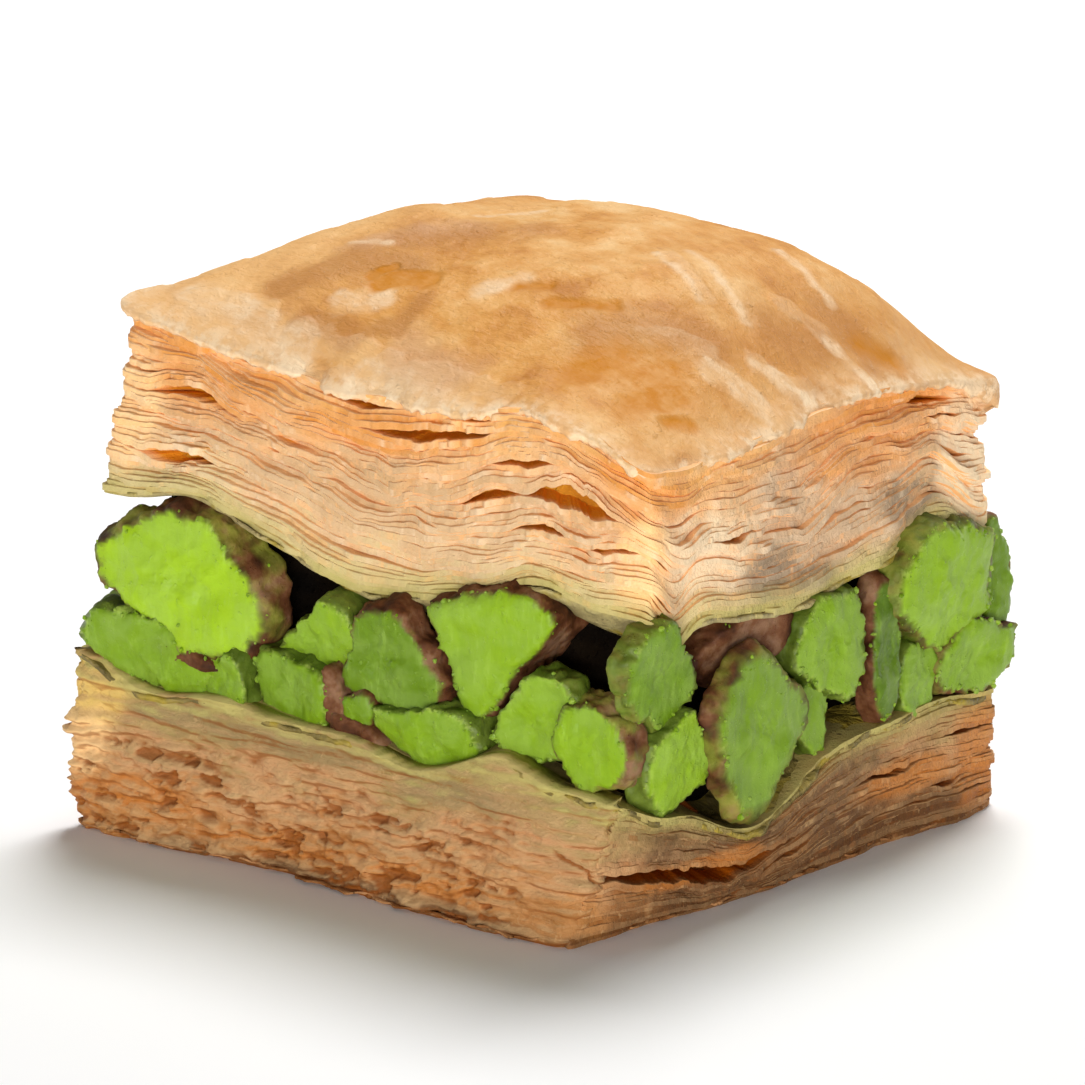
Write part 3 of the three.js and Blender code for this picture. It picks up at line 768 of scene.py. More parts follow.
def leaf_stack(part, names, edges, leaves, tree, marks, seed, values):
    """Stacks a pastry's leaves as a few pieces, marks their edges and hands them over."""
    share = leaves // len(names)
    for number, name in enumerate(names):
        first = number * share
        count = leaves - first if name == names[-1] else share
        strip = leaf_strip(name, *edges, STRIP_POINTS[part])
        run_tree(strip, tree, values | {"Leaves": count, "First leaf": first, "All leaves": leaves})
        keep_values(strip, {"level", "shade", "inset", "mouth", "proud", "crumb"})
        crease(strip)
        wall_marks(strip, edges, marks, seed)
        hand_over(strip, part)


class Paint:
    """A material with one Principled shader. Its nodes read object space in millimetres."""

    def __init__(self, name, **constants):
        self.material = bpy.data.materials.new(name)
        self.material.use_nodes = True
        self.tree = self.material.node_tree
        self.shader = next(n for n in self.tree.nodes if n.type == "BSDF_PRINCIPLED")
        for label, value in constants.items():
            self.shader.inputs[label.replace("_", " ")].default_value = value

    def place(self):
        return add(self.tree, "ShaderNodeTexCoord", outlet="Object") * 1000.0

    def value(self, name):
        return add(self.tree, "ShaderNodeAttribute", outlet="Fac", attribute_name=name)

    def normal(self, axis):
        return add(self.tree, "ShaderNodeNewGeometry", outlet="Normal").part(axis)

    def wire(self, label, value):
        self.tree.links.new(value.socket, self.shader.inputs[label])

    def bump(self, height, distance, strength=1.0):
        inlets = {"Strength": strength, "Distance": distance, "Height": height}
        self.wire("Normal", add(self.tree, "ShaderNodeBump", inlets))

    def effect(self, name, **values):
        """Places a shared node group and gives its outputs by name."""
        node = add(self.tree, "ShaderNodeGroup", node_tree=shared_group(name)).socket.node
        for label, value in values.items():
            if isinstance(value, Sum):
                self.tree.links.new(value.socket, node.inputs[label])
            else:
                node.inputs[label].default_value = value
        return {s.name: Sum(self.tree, s) for s in node.outputs}


def grain(of):
    """Mottling, pale specks and fine relief of baked dough and of cut nut."""
    place = of["Place"] * (1.0 / of["Size"])
    specks = place.noise(3.2, 2.0, 0.6).step(0.62, 0.75)
    height = place.noise(1.6, 5.0, 0.65) * 0.7 + specks * 0.3
    return {"Mottle": place.noise(0.45, 4.0, 0.6).step(0.3, 0.7), "Specks": specks, "Height": height}


def nut_stain(of):
    """The green that the nuts give to the dough that lies against them."""
    patchy = of["Place"].noise(0.28, 3.0, 0.6).step(0.25, 0.75, 0.55, 1.15)
    return {"Colour": (of["Amount"] * patchy).clamp().mix(of["Colour"], "#bcb068")}


def strata(of):
    """Thin uneven layers that follow the leaves of a stack."""
    height = of["Level"] * of["Layers"]
    flat = of["Place"] * (0.3, 0.3, 0.0)
    streaks = (flat + (height * 0.55).upward()).noise(1.0, 3.0, 0.6)
    lines = (flat * 1.5 + (height * 1.9).upward()).noise(1.0, 3.0, 0.65)
    return {"Streaks": streaks, "Lines": lines}


# Shared shader node groups: what works them out, and their inputs.
GROUPS = {
    "Grain": (grain, [("Place", "Vector", None), ("Size", "Float", 1.0)]),
    "Nut stain": (
        nut_stain, [("Colour", "Color", None), ("Amount", "Float", 0.5), ("Place", "Vector", None)],
    ),
    "Strata": (strata, [("Place", "Vector", None), ("Level", "Float", 0.5), ("Layers", "Float", 40.0)]),
}


def shared_group(name):
    """A shared shader node group, built at its first use."""
    group = bpy.data.node_groups.get(name)
    if group:
        return group
    group = bpy.data.node_groups.new(name, "ShaderNodeTree")
    work, inputs = GROUPS[name]
    results = work(name_inputs(group, inputs))
    for label in results:
        kind = "NodeSocketColor" if label == "Colour" else "NodeSocketFloat"
        group.interface.new_socket(label, in_out="OUTPUT", socket_type=kind)
    sink = group.nodes.new("NodeGroupOutput")
    for label, value in results.items():
        group.links.new(value.socket, sink.inputs[label])
    return group


def leaf_paint(name, layers, edge_stops, line_and_shade_tone, deep, stain_span, tints):
    """Filo leaves: pale cut edges, amber depths and a green stain next to the nuts, with painted highlights
    on upward-facing, protruding and raised parts and painted shade (a warm painted glow in the lid) in
    creases, undersides, recessed leaves and hollows.
    """
    paint = Paint(name, IOR=1.4, Specular_IOR_Level=0.25)
    place = paint.place()
    labels = ("level", "shade", "inset", "mouth", "crumb", "proud")
    level, shade, inset, mouth, crumb, proud = (paint.value(label) for label in labels)
    lip = tints["lip"]
    grain = paint.effect("Grain", Place=place, Size=1.6)
    strata = paint.effect("Strata", Place=place, Level=level, Layers=layers)
    mix = (grain["Mottle"] - 0.5) * 0.22 + (shade - 0.5) * 0.10 + (strata["Streaks"] - 0.5) * 0.5
    edge = (level + mix).colours(*edge_stops)
    for label, share in (("brown", 0.9), ("grey", 0.85), ("orange", 0.8), ("painted_glow", 0.85), ("painted_highlight", 0.8)):
        edge = (paint.value(label) * share).mix(edge, tints[label])
    lined = strata["Lines"].step(0.46, 0.34) * 0.4
    pale = (shade * 0.2 + grain["Specks"] * 0.25 + strata["Lines"].step(0.55, 0.75) * 0.35).clamp()
    face = pale.mix(lined.mix(edge, line_and_shade_tone), lip)
    # Painted highlight: faces that point upwards are paled towards the lip colour.
    over = paint.normal("Z").step(0.15, 0.8) * 0.5
    # Painted shade on leaves set back from the wall, painted highlight on leaves that stand out.
    face = ((proud * -1.0).step(0.02, 0.4) * 0.45).mix(face, line_and_shade_tone)
    face = (proud.step(0.12, 0.75) * 0.6).math("MAXIMUM", over).mix(face, lip)
    # Painted shade in the creases between leaves and round the slits: the crease tone, which is a warm
    # painted glow in the lid.
    creases_shaded = (inset.step(0.0, 0.03) * 0.6 + mouth.step(0.3, 0.9) * 0.25).clamp().mix(face, line_and_shade_tone)
    # Painted shade: faces that point downwards take the crease tone.
    painted_underside_shade = paint.normal("Z").step(-0.1, -0.6) * 0.6
    body = (inset.step(0.04, 0.3) * mouth.step(0.02, 0.2)).mix(painted_underside_shade.mix(creases_shaded, line_and_shade_tone), deep)
    # Raised crumbs get a painted highlight; hollows get painted shade with a syrup colour.
    crest_highlight = (crumb.step(0.53, 0.66) * 0.4).mix(body, lip)
    hollow_shade_and_syrup = (crumb.step(0.46, 0.30) * 0.8).mix(crest_highlight, line_and_shade_tone)
    low, high = stain_span
    amount = level.step(low, high)
    stained = paint.effect("Nut stain", Colour=hollow_shade_and_syrup, Amount=amount, Place=place)["Colour"]
    paint.wire("Base Color", stained)
    sticky = (inset.step(0.02, 0.3) + paint.value("orange") * 0.5).clamp()
    paint.wire("Roughness", sticky.mix_value(0.62, 0.42))
    fine = place.noise(5.0, 3.0, 0.6)
    paint.bump(grain["Height"] * 0.6 + strata["Lines"] * 0.3 + fine * 0.5, 0.00020, 0.8)
    return paint.material


def heart_paint(name, dark, light):
    """The sticky inside that shows through slits; also the near-black core between the kernels, which is
    painted shade.
    """
    paint = Paint(name, Roughness=0.8, IOR=1.4, Specular_IOR_Level=0.1)
    grain = paint.effect("Grain", Place=paint.place(), Size=1.2)
    paint.wire("Base Color", grain["Mottle"].colours((0.0, dark), (1.0, light)))
    paint.bump(grain["Height"], 0.0004)
    return paint.material


def crust_paint():
    """The browned top leaf with its amber pools, dull hollows and papery flakes; painted shade on slopes
    that face right and painted light on its left part.
    """
    paint = Paint("Crust", IOR=1.4, Specular_IOR_Level=0.2)
    place = paint.place()
    grain = paint.effect("Grain", Place=place, Size=2.2)
    fine = paint.effect("Grain", Place=place, Size=0.6)
    streaks = (place * (0.7, 1.3, 1.0)).noise(0.6, 5.0, 0.65)
    broad = place.noise(0.16, 4.0, 0.6)
    colour = (broad + (grain["Mottle"] - 0.5) * 0.16 + (streaks - 0.5) * 0.4).colours(
        (0.28, "#edc083"), (0.42, "#e5ae69"), (0.55, "#da9c52"), (0.72, "#c2803a"),
    )
    # Painted shade: slopes that face right are darkened.
    turned = paint.normal("X").step(0.15, 0.85)
    # Painted light: the left part of the crust is paled.
    left = (place * (-1.0, 0.0, 0.0)).part("X").step(4.0, 18.0)
    grey, brown, amber = (paint.value(label) for label in ("grey", "brown", "amber"))
    # The first two tints are painted shade and painted light; the marks after them are the crust's own
    # colour.
    for share, most, tint in (
        (turned, 0.5, "#c28a50"), (left, 0.6, "#ecbc80"), (grey, 0.6, "#cfa078"), (brown, 0.7, "#b87c40"),
    ):
        colour = (share * most).mix(colour, tint)
    syrup = amber * fine["Mottle"].step(0.0, 1.0, 0.65, 1.0) * streaks.step(0.3, 0.6, 0.75, 1.0)
    colour = syrup.mix(colour, "#c47a08")
    frosted = paint.value("pale") * streaks.step(0.35, 0.65, 0.2, 0.65)
    dry = 1.0 - amber
    rim = paint.value("rim") * fine["Mottle"].step(0.2, 0.8, 0.3, 0.8)
    whitish = ((frosted + fine["Specks"] * 0.15 + rim) * dry).clamp()
    paint.wire("Base Color", whitish.mix(colour, "#f6dab4"))
    paint.wire("Roughness", amber.mix_value(0.5, 0.6))
    wrinkles = (place * (0.5, 1.4, 1.0)).noise(1.5, 3.0, 0.6, 0.8)
    height = grain["Height"] * 0.5 + fine["Height"] * 0.35 + streaks * 0.6 + wrinkles * 0.5
    paint.bump(height * (1.0 - amber * 0.6), 0.00032, 0.85)
    return paint.material


def nut_paint():
    """Pistachio: vivid cut flesh, duller broken flanks darkened further as painted shade between kernels,
    crumbly rims and a brown papery skin.
    """
    paint = Paint(
        "Pistachio", IOR=1.4, Specular_IOR_Level=0.3,
        Subsurface_Weight=0.15, Subsurface_Scale=0.0010, Subsurface_Radius=(0.8, 1.0, 0.1),
    )
    place = paint.place()
    flesh = paint.value("flesh")
    skin = paint.value("skin")
    grain = paint.effect("Grain", Place=place, Size=1.2)
    cloud = place.noise(0.35, 3.0, 0.6)
    fibres = (place * (1.6, 1.6, 0.35)).noise(1.1, 3.0, 0.6)
    tone = (paint.value("glow") + (cloud - 0.5) * 0.5 + (fibres - 0.5) * 0.25).colours(
        (0.0, "#48640a"), (0.3, "#658612"), (0.55, "#7da01a"), (0.75, "#8eb21c"), (0.95, "#9fc41e")
    )
    milky = (cloud * -1.0 + 0.6).step(0.0, 0.2) * 0.25 + fibres.step(0.55, 0.75) * 0.2
    cut = (milky + grain["Specks"] * 0.2).clamp().mix(tone, "#a8c75c")
    # Flanks: the duller green of broken nut, darkened as painted shade of the gaps between kernels.
    shaded_flank = (grain["Mottle"] * 0.7).mix("#43560f", "#7c8e38")
    inner = paint.value("cut").mix(shaded_flank, cut)
    brown = grain["Mottle"].colours((0.0, "#34190a"), (0.4, "#5c341a"), (0.7, "#744a2e"), (1.0, "#906c50"))
    olive = grain["Mottle"].colours((0.0, "#4c4a10"), (0.5, "#787a28"), (1.0, "#9a9440"))
    bark = skin.step(0.3, 0.7).mix(olive, brown)
    body = flesh.mix(bark, inner)
    crumb = place.noise(2.4, 2.0, 0.6).step(0.45, 0.62)
    rim = (paint.value("rim") * crumb).clamp()
    dry = skin.step(0.3, 0.55).mix("#b9cc62", "#5c4034")
    paint.wire("Base Color", (rim * 0.42).mix(body, dry))
    paint.wire("Roughness", flesh.mix_value(0.7, 0.4))
    paint.bump(grain["Height"] * 0.8 + fibres * 0.25, 0.00022, 0.7)
    return paint.material


def wet_leaf_paint(name, stops):
    """A wet olive leaf next to the nuts."""
    paint = Paint(name, Roughness=0.45, IOR=1.4, Specular_IOR_Level=0.4)
    place = paint.place()
    grain = paint.effect("Grain", Place=place, Size=1.5)
    folds = (place * (0.5, 1.0, 0.6)).noise(0.9, 4.0, 0.65, 0.6)
    patches = place.noise(0.3, 3.0, 0.6)
    colour = (folds * 0.7 + grain["Mottle"] * 0.3).colours(*stops)
    colour = patches.step(0.47, 0.63).mix(colour, "#a89238")
    paint.wire("Base Color", colour)
    paint.bump(grain["Height"] * 0.6 + folds, 0.0005, 0.9)
    return paint.material


def closed_sheet(name, front, behind):
    """A closed sheet from a grid of points and the matching grid behind it."""
    over, ring = grid_faces(front.shape[0] - 1, front.shape[1] - 1)
    points = np.concatenate([front.reshape(-1, 3), behind.reshape(-1, 3)])
    shift = len(points) // 2
    faces = np.concatenate([over, over[:, ::-1] + shift, band_faces(ring, ring + shift)])
    piece = new_piece(name, points, faces)
    face_outward(piece)
    return piece


def sheet_piece(name, edge, lift, thick, count, ragged, seed):
    """A whole leaf stretched between four sides, with a ragged edge."""
    u, v = even_grid(count)
    points = sheet_point(edge, u, v)
    points[:, :2] *= (1 - 0.02 * np.abs(u * v) ** 20)[:, None]
    near_rim = ease(rimward(u, v), 0.9, 1.0)
    flat, out = flat_and_out(points)
    points = points + out * (near_rim * ragged * lumps(flat, 1.6, seed, 3))[:, None]
    points[:, 2] += lift(points, u, v)
    front = points.reshape(count + 1, count + 1, 3)
    return closed_sheet(name, front, front - (0, 0, thick))


def crumb_face(name, low, high, counts, before, after, rows, seed):
    """The crumbly front of a stack baked into one mass; it turns a little round both corners."""
    loops = [soften_corners(loop_points(edge, counts), edge) for edge in (low, high)]
    picked = np.arange(-counts[3] - before, after + 1)
    foot, top = (loop.take(picked, axis=0, mode="wrap") for loop in loops)
    steps = np.linalg.norm(np.diff(foot, axis=0), axis=1)
    length = np.concatenate([[0], np.cumsum(steps)])
    level = np.linspace(0, 1, rows + 1)[:, None] * np.ones(len(picked))
    face = foot * (1 - level)[..., None] + top * level[..., None]
    out = across(np.gradient(face, axis=1))
    along = (length + 0 * level).ravel()
    height = (level * (top - foot)[:, 2]).ravel()
    corner = length[before + counts[3]]
    flat = np.stack([along, height, 0 * along], axis=1)
    place = flat * (0.5, 1.3, 0)
    slanted = np.stack([along * 0.3 + height * 0.25, height * 3.0, 0 * along], axis=1)
    smooth = np.maximum(ease(level.ravel(), 0.55, 0.75), ease(along, corner - 6.0, corner - 2.5))
    rough = 1 - 0.65 * smooth
    pits = ease(lumps(place, 0.8, seed + 3, 3), 0.16, 0.34) * (1 - smooth)
    crack = np.abs(height - 4.6 - 0.5 * (corner - along) + 0.5 * lumps(flat, 1.6, seed + 8, 3))
    crack = (1 - ease(crack, 0.05, 0.22)) * ease(along, corner - 3.2, corner - 2.2) * (along < corner + 1.5)
    fine = flat * (0.6, 1.5, 0)
    push = 0.45 * lumps(place, 2.8, seed, 2) + rough * 0.45 * lumps(place, 1.1, seed + 1, 3)
    push = push + rough * 0.3 * lumps(fine, 0.5, seed + 2, 3) + 0.4 * lumps(slanted, 1.1, seed + 4, 3)
    push = push + 0.9 * lumps(flat, 1.3, seed + 9, 3) * (1 - ease(along, 1.0, 4.0))
    push = push - 0.5 * pits - 0.3 * crack
    ends = ease(along, 0, 1.0) * ease(length[-1] - along, 0, 1.6)
    push = (push * ends - 0.9 * (1 - ends)).reshape(level.shape)
    hem = ease(level, 0, 0.05)
    front = face + out * (push * (0.5 + 0.5 * hem) - 0.2 * (1 - hem))[..., None]
    piece = closed_sheet(name, front, face - out * 1.7)
    behind = np.zeros(level.size)
    tone = level.ravel() + 0.2 * lumps(slanted, 1.4, seed + 5, 3) + 0.12 * lumps(fine, 0.5, seed + 6, 2)
    give_values(piece, "level", np.concatenate([np.clip(tone, 0, 1), level.ravel()]))
    give_values(piece, "shade", np.concatenate([0.5 + 0.8 * lumps(slanted, 1.4, seed + 5, 3), behind]))
    crumb = 0.5 + 0.15 * rough * lumps(place, 1.1, seed + 1, 3)
    crumb = crumb + 0.14 * rough * lumps(slanted, 1.1, seed + 4, 3)
    crumb = crumb + 0.16 * rough * lumps(fine, 0.5, seed + 2, 3)
    give_values(piece, "crumb", np.concatenate([crumb - 0.24 * pits - 0.25 * crack, behind]))
    return piece


def mark_share(flat, ends, width, soft, seed):
    """How strongly a ragged mark covers each point; ends holds the x, y of its start and end."""
    start = np.array(ends[:2], float)
    line = ends[2:] - start
    share = np.clip(((flat[:, :2] - start) @ line) / (line @ line), 0, 1)
    gap = np.linalg.norm(flat[:, :2] - start - line * share[:, None], axis=1) / width
    gap = gap + 0.8 * lumps(flat, 1.6 * width + 0.4, seed, 2) + 0.25 * lumps(flat, 0.6, seed + 1, 2)
    return 1 - ease(gap, 0.9 - soft * 0.8, 1.15 + soft * 0.8)


# How the crust turns down at its rim, row by row: out, down, and share of the ragged tear.
CRUST_TURN = [(0.16, -0.08, 0), (0.2, -0.24, 0.6), (0.12, -0.4, 1), (-0.1, -0.38, 1), (-1.8, -0.6, 0.4)]


def crust_piece(name, rows):
    """The browned top leaf: domed, blistered, and turned down raggedly over the rim."""
    u, v = even_grid(rows)
    points = sheet_point(LID_TOP, u, v)
    points[:, :2] *= (1 - 0.025 * np.abs(u * v) ** 24)[:, None]
    flat, outward = flat_and_out(points)
    border = ease(rimward(u, v), 0.94, 1.0)
    torn = 0.9 * lumps(flat, 3.4, 12, 3) + 0.12 * lumps(flat, 0.6, 13, 2)
    torn = torn + 0.9 * near_spot(flat, -20.8, -14.2, 2.5)
    lip = near_spot(flat, 19.5, 21.3, 1.8)
    points = points + outward * (border * torn)[:, None] + lip[:, None] * np.array([1.2, 0.3, 0.0])
    points[:, 2] += crust_rise(u, v, points)
    inner = 1 - rimward(u, v) ** 6
    points[:, 2] += (0.28 * lumps(flat, 6.0, 1) + 0.1 * lumps(flat, 2.2, 2)) * inner
    points[:, 2] += 0.035 * lumps(flat, 0.6, 3, 3)
    flakes = ease(lumps(flat, 3.4, 4, 3), 0.08, 0.12) + ease(lumps(flat, 5.0, 5, 3), 0.1, 0.13)
    marks = {kind: np.zeros(len(points)) for kind in CRUST_MARKS}
    for number, (kind, *ends, width, soft) in enumerate(by_side(CRUST_MARKS)):
        marks[kind] = np.maximum(marks[kind], mark_share(flat, ends, width, soft, 20 + number))
    points[:, 2] += 0.07 * flakes * (1 - marks["amber"])
    for number, (*ends, width) in enumerate(CRUST_FLAKES):
        flake = mark_share(flat, ends, width, 0.12, 60 + number) * (1 - marks["amber"])
        points[:, 2] += 0.11 * flake
        marks["pale"] = np.maximum(marks["pale"], 0.35 * flake)
    points[:, 2] -= 0.04 * marks["amber"]

    over, ring = grid_faces(rows, rows)
    faces = list(over)
    rim = points[ring]
    out = across(np.roll(rim, -3, axis=0) - np.roll(rim, 3, axis=0))
    ragged = 0.35 * lumps(rim, 2.0, 6, 3) + 0.2 * lumps(rim, 0.5, 7, 2)
    thick = 1 + 4.0 * lip[ring]
    all_points = [points]
    before = ring
    base = len(points)
    for push, drop, share in CRUST_TURN:
        row = rim + out * (push + 0.05 * lumps(rim, 0.8, 8))[:, None]
        all_points.append(row + (0, 0, 1) * (drop * thick - np.abs(ragged) * share * 1.6)[:, None])
        now = base + np.arange(len(ring))
        faces.extend(band_faces(before, now))
        before = now
        base += len(ring)
    all_points.append([[0.0, 0.0, rim[:, 2].mean() - 1.5]])
    faces.extend(np.stack([np.roll(before, -1), before, np.full(len(ring), base)], axis=-1))
    piece = new_piece(name, np.concatenate(all_points), faces)
    turned = len(CRUST_TURN) * len(ring)
    give_values(piece, "rim", np.concatenate([rimward(u, v) ** 30, np.ones(turned), [0.0]]))
    for kind, found in marks.items():
        give_values(piece, kind, np.concatenate([found, np.tile(found[ring], len(CRUST_TURN)), [0.0]]))
    face_outward(piece)
    return piece


def stack_heart(name, low, high, inset, down, up, seed, rise=None):
    """The filling of a leaf stack, behind its slits."""
    counts = (60, 60, 60, 60)
    foot, top = loop_points(low, counts), loop_points(high, counts)
    rings = []
    for share in np.linspace(0, 1, 9):
        ring = foot * (1 - share) + top * share
        out = flat_and_out(ring)[1]
        ring = ring - out * inset + out * (0.5 * lumps(ring, 3.0, seed))[:, None]
        ring[:, 2] += down * (1 - share) - up * share
        rings.append(ring)
    low_pole = rings[0].mean(axis=0)
    high_pole = rings[-1].mean(axis=0)
    if rise:
        for scale in (0.85, 0.65, 0.4, 0.2):
            ring = rings[8].copy()
            centre = high_pole * (1, 1, 0)
            ring[:, :2] = centre[:2] + (ring[:, :2] - centre[:2]) * scale
            ring[:, 2] = rings[8][:, 2] * scale + high_pole[2] * (1 - scale) + rise * (1 - scale**2)
            rings.append(ring)
        high_pole = rings[-1].mean(axis=0) + (0, 0, 0.1)
    piece = new_piece(name, *closed_rings(rings, low_pole, high_pole))
    face_outward(piece)
    return piece


# Kernels: along and up their wall, width, height, depth, turn in degrees, how proud the cut stands,
# lean of the cut sideways and upwards, glow, brown skin, then the angle and distance of each break.
FRONT_NUTS = [
    (7.8, 17.3, 14.8, 10.8, 4.4, -20, 0.7, -0.04, -0.05, 0.88, 0.58, -116, 3.4, 110, 4.6),
    (5.6, 12.1, 11.8, 7.4, 6, -14, 0.8, -0.1, 0.15, 0.45, 0.1, 81, 2.7, -116, 2.3, -93, 2.4, -42, 4.5),
    (11.2, 11.3, 6.4, 6.4, 3, 30, 0.5, 0.3, 0.15, 0.5, 0.1, 130, 1.5, -80, 1.5, 8, 2.1),
    (18.2, 15, 8.4, 6.2, 3, 25, -0.2, 0.05, 0.25, 0.6, 0.1, 136, 1.7, 54, 3.6, -36, 2.6, -86, 2.4),
    (16.5, 11.9, 7.4, 6, 4.5, -25, 0.3, 0.15, 0.05, 0.42, 0.1, 179, 3.2, 86, 2, -98, 2.3),
    (23.9, 14.7, 9.6, 9.2, 2.8, -35, 0.3, 0, 0.1, 0.25, 0.9, 166, 2.9, 108, 3.7, 35, 3.2, -101, 3),
    (27.2, 10.6, 8.8, 5.8, 4, -8, 0.7, 0, 0.25, 0.5, 0.1, 97, 1.9, -126, 2.4, -59, 2.5, 25, 4.6),
    (21.9, 11.4, 3.4, 2.6, 2.2, 25, 0.5, 0, 0.1, 0.35, 1),
    (20.1, 11.7, 1.7, 4.6, 2.6, 12, 0.8, 0, 0, 0, 1),
    (22, 9.9, 4.4, 1.6, 2.4, -22, 0.8, 0, 0, 0, 1),
    (8.2, 12.8, 6.4, 1.3, 3.2, -12, 0.8, 0, 0, 0, 1),
    (31.4, 16.8, 12, 10.6, 8.5, 20, 0, -0.05, 0.05, 0.62, 0.95, -159, 3.6, 103, 3.9, -38, 2.5),
    (35.2, 13.3, 8.6, 7.8, 2.6, 40, 0.4, 0, 0.15, 0.6, 0.35, 146, 2, 96, 3.2, -23, 2.9, -89, 2.8),
    (39.3, 12.2, 6.8, 7.4, 3.2, 20, 0.9, 0.05, 0.05, 0.6, 0.48, 167, 2.4, -138, 2.4, -79, 2.9, 111, 2.9),
]
RIGHT_NUTS = [
    (2.3, 16.8, 7.6, 10, 1.9, -28, 0.4, 0, 0.1, 0.3, 0.4, -158, 3.4, -131, 3, 28, 2.3, 79, 3.8),
    (4.2, 11, 7.8, 7.2, 3, 30, 0.6, 0, 0.1, 0.66, 0.2, 109, 2.5, 35, 2.1, -61, 2.7, -172, 3.4),
    (11.1, 11.3, 11, 11.6, 1.8, 12, 1.2, -0.05, 0, 0.4, 0.48, -179, 4.9, -140, 5.1, 48, 3.9, -44, 3.9),
    (11.6, 16.2, 10.4, 4.9, 7, 5, -0.7, 0, 0.3, 0, 1),
    (18.9, 14.8, 8, 8.8, 2.8, -10, 0.5, 0, 0, 0.52, 0.1, 161, 3.9, -123, 2.8, 3, 2.9, 87, 3.7),
    (17.6, 10.6, 3, 6.4, 3, 8, -0.2, 0, 0, 0.45, 0.2),
    (24, 13.2, 3.6, 10.4, 2.6, 0, 0.5, 0, 0, 0.06, 1, 0, 1.4),
    (29.9, 16.1, 11.4, 10.2, 3.4, -20, 0.9, 0, 0.1, 0.62, 0.42, -133, 3.8, -72, 3.9, 5, 4.6),
    (27.6, 10.6, 4.4, 6.6, 3, -5, 0.3, 0, 0, 0.45, 0.2, 83, 2.5),
    (33.4, 11, 9.2, 7, 4, 12, 0.6, 0, 0.1, 0.5, 0.5, 70, 2.3, 121, 3.1, -102, 2.7),
    (36, 15.4, 4, 9.4, 6, 8, -0.2, 0, 0, 0.3, 0.6),
]


# Kernels are drawn a little smaller than listed, so that neighbours don't merge.
KERNEL_FIT = 0.935
# The higher the power, the squarer the outline of a kernel's cut and the edge round it.
OUTLINE_POWER = 12
BODY_POWER = 9


def ball(rows):
    """Evenly spread directions and the faces between them."""
    work = bmesh.new()
    bmesh.ops.create_cube(work, size=2.0)
    bmesh.ops.subdivide_edges(work, edges=work.edges[:], cuts=rows - 1, use_grid_fill=True)
    corners = np.array([v.co[:] for v in work.verts])
    faces = [[v.index for v in f.verts] for f in work.faces]
    work.free()
    corners = np.tan(corners * math.pi / 4)
    return corners / np.linalg.norm(corners, axis=1)[:, None], faces


def nut_side(side):
    """Start, along and outward directions of a wall of nuts, and its length."""
    index = SIDES.index(side)
    after = (index + 1) % 4
    start = (np.array(BASE_TOP["corners"][index]) + np.array(LID_FOOT["corners"][index])) / 2
    end = (np.array(BASE_TOP["corners"][after]) + np.array(LID_FOOT["corners"][after])) / 2
    start[2] = end[2] = 0
    length = np.linalg.norm(end - start)
    along = (end - start) / length
    return start, along, np.array([along[1], -along[0], 0.0]), length


def kernel(side, nut, seed, rows):
    """One broken kernel: points, faces, and its flesh, glow, skin and line values."""
    start, along, out, _ = nut_side(side)
    at, up, wide, tall, deep, turn, proud, lean, tip, glow, skin, *breaks = nut
    directions, faces = ball(rows)
    wide, tall = wide * KERNEL_FIT, tall * KERNEL_FIT
    flat = np.hypot(directions[:, 0], directions[:, 1])
    angle = np.arctan2(directions[:, 1], directions[:, 0])
    tilted = angle - math.radians(turn)
    powers = np.hypot(np.cos(tilted) / (wide / 2), np.sin(tilted) / (tall / 2)) ** OUTLINE_POWER
    for direction, distance in zip(breaks[::2], breaks[1::2]):
        facing = np.maximum(np.cos(angle - math.radians(direction)), 0)
        powers = powers + (facing / distance) ** OUTLINE_POWER
    outline = powers ** (-1 / OUTLINE_POWER)
    half = deep / 2
    rough = np.stack([outline * np.cos(angle), outline * np.sin(angle), directions[:, 2] * half], axis=1)
    outline = outline * (1 + 0.13 * lumps(rough, 2.4, seed, 2)) + 0.28 * lumps(rough, 0.9, seed + 1, 3)
    side_share = (flat / outline) ** BODY_POWER
    end_share = (np.abs(directions[:, 2]) / half) ** BODY_POWER
    spots = directions * ((side_share + end_share) ** (-1 / BODY_POWER))[:, None]
    level = spots[:, 2] / half
    spots[:, :2] *= (1 + 0.07 * (1 - level) - 0.4 * ease(-level, 0.2, 1.0))[:, None]
    waver = 0.2 * lumps(spots, 0.5, seed + 5, 3)
    front = np.where(directions[:, 2] > 0, end_share / (side_share + end_share), 0.0)
    cut = ease(front + waver * 0.35, 0.25, 0.55)
    rim = np.exp(-(((front - 0.4) / 0.22) ** 2)) * (directions[:, 2] > 0)
    whole = 0.0 if glow == 0.0 else 1.0
    flesh = np.maximum(cut * whole, 1 - ease(skin + 0.4 * waver, 0.35, 0.5))
    spots[:, 2] += (lean * spots[:, 0] + tip * spots[:, 1]) * ease(level, -0.6, 0.6)
    spots[:, 2] += front * (0.5 * lumps(spots, 3.0, seed + 7, 2) + 0.12 * lumps(spots, 0.8, seed + 8, 3))
    bumps = 0.16 * lumps(spots, 1.2, seed + 2, 3) + 0.06 * lumps(spots, 0.4, seed + 3, 2)
    bumps = bumps + rim * 0.35 * lumps(spots, 0.4, seed + 4, 2)
    bumps = bumps + (1 - cut) * 0.4 * lumps(spots, 0.9, seed + 6, 3)
    spots = spots + directions * bumps[:, None]
    centre = start + along * at + out * (proud - half) + np.array([0, 0, up])
    points = centre + spots[:, :1] * along + spots[:, 1:2] * np.array([0, 0, 1]) + spots[:, 2:] * out
    count = len(points)
    patch = 0.5 * lumps(spots, 2.2, seed + 9, 3) * (skin > 0.4)
    bark = np.clip(skin + waver + patch, 0, 1)
    return points, faces, flesh, np.full(count, glow), bark, rim, cut


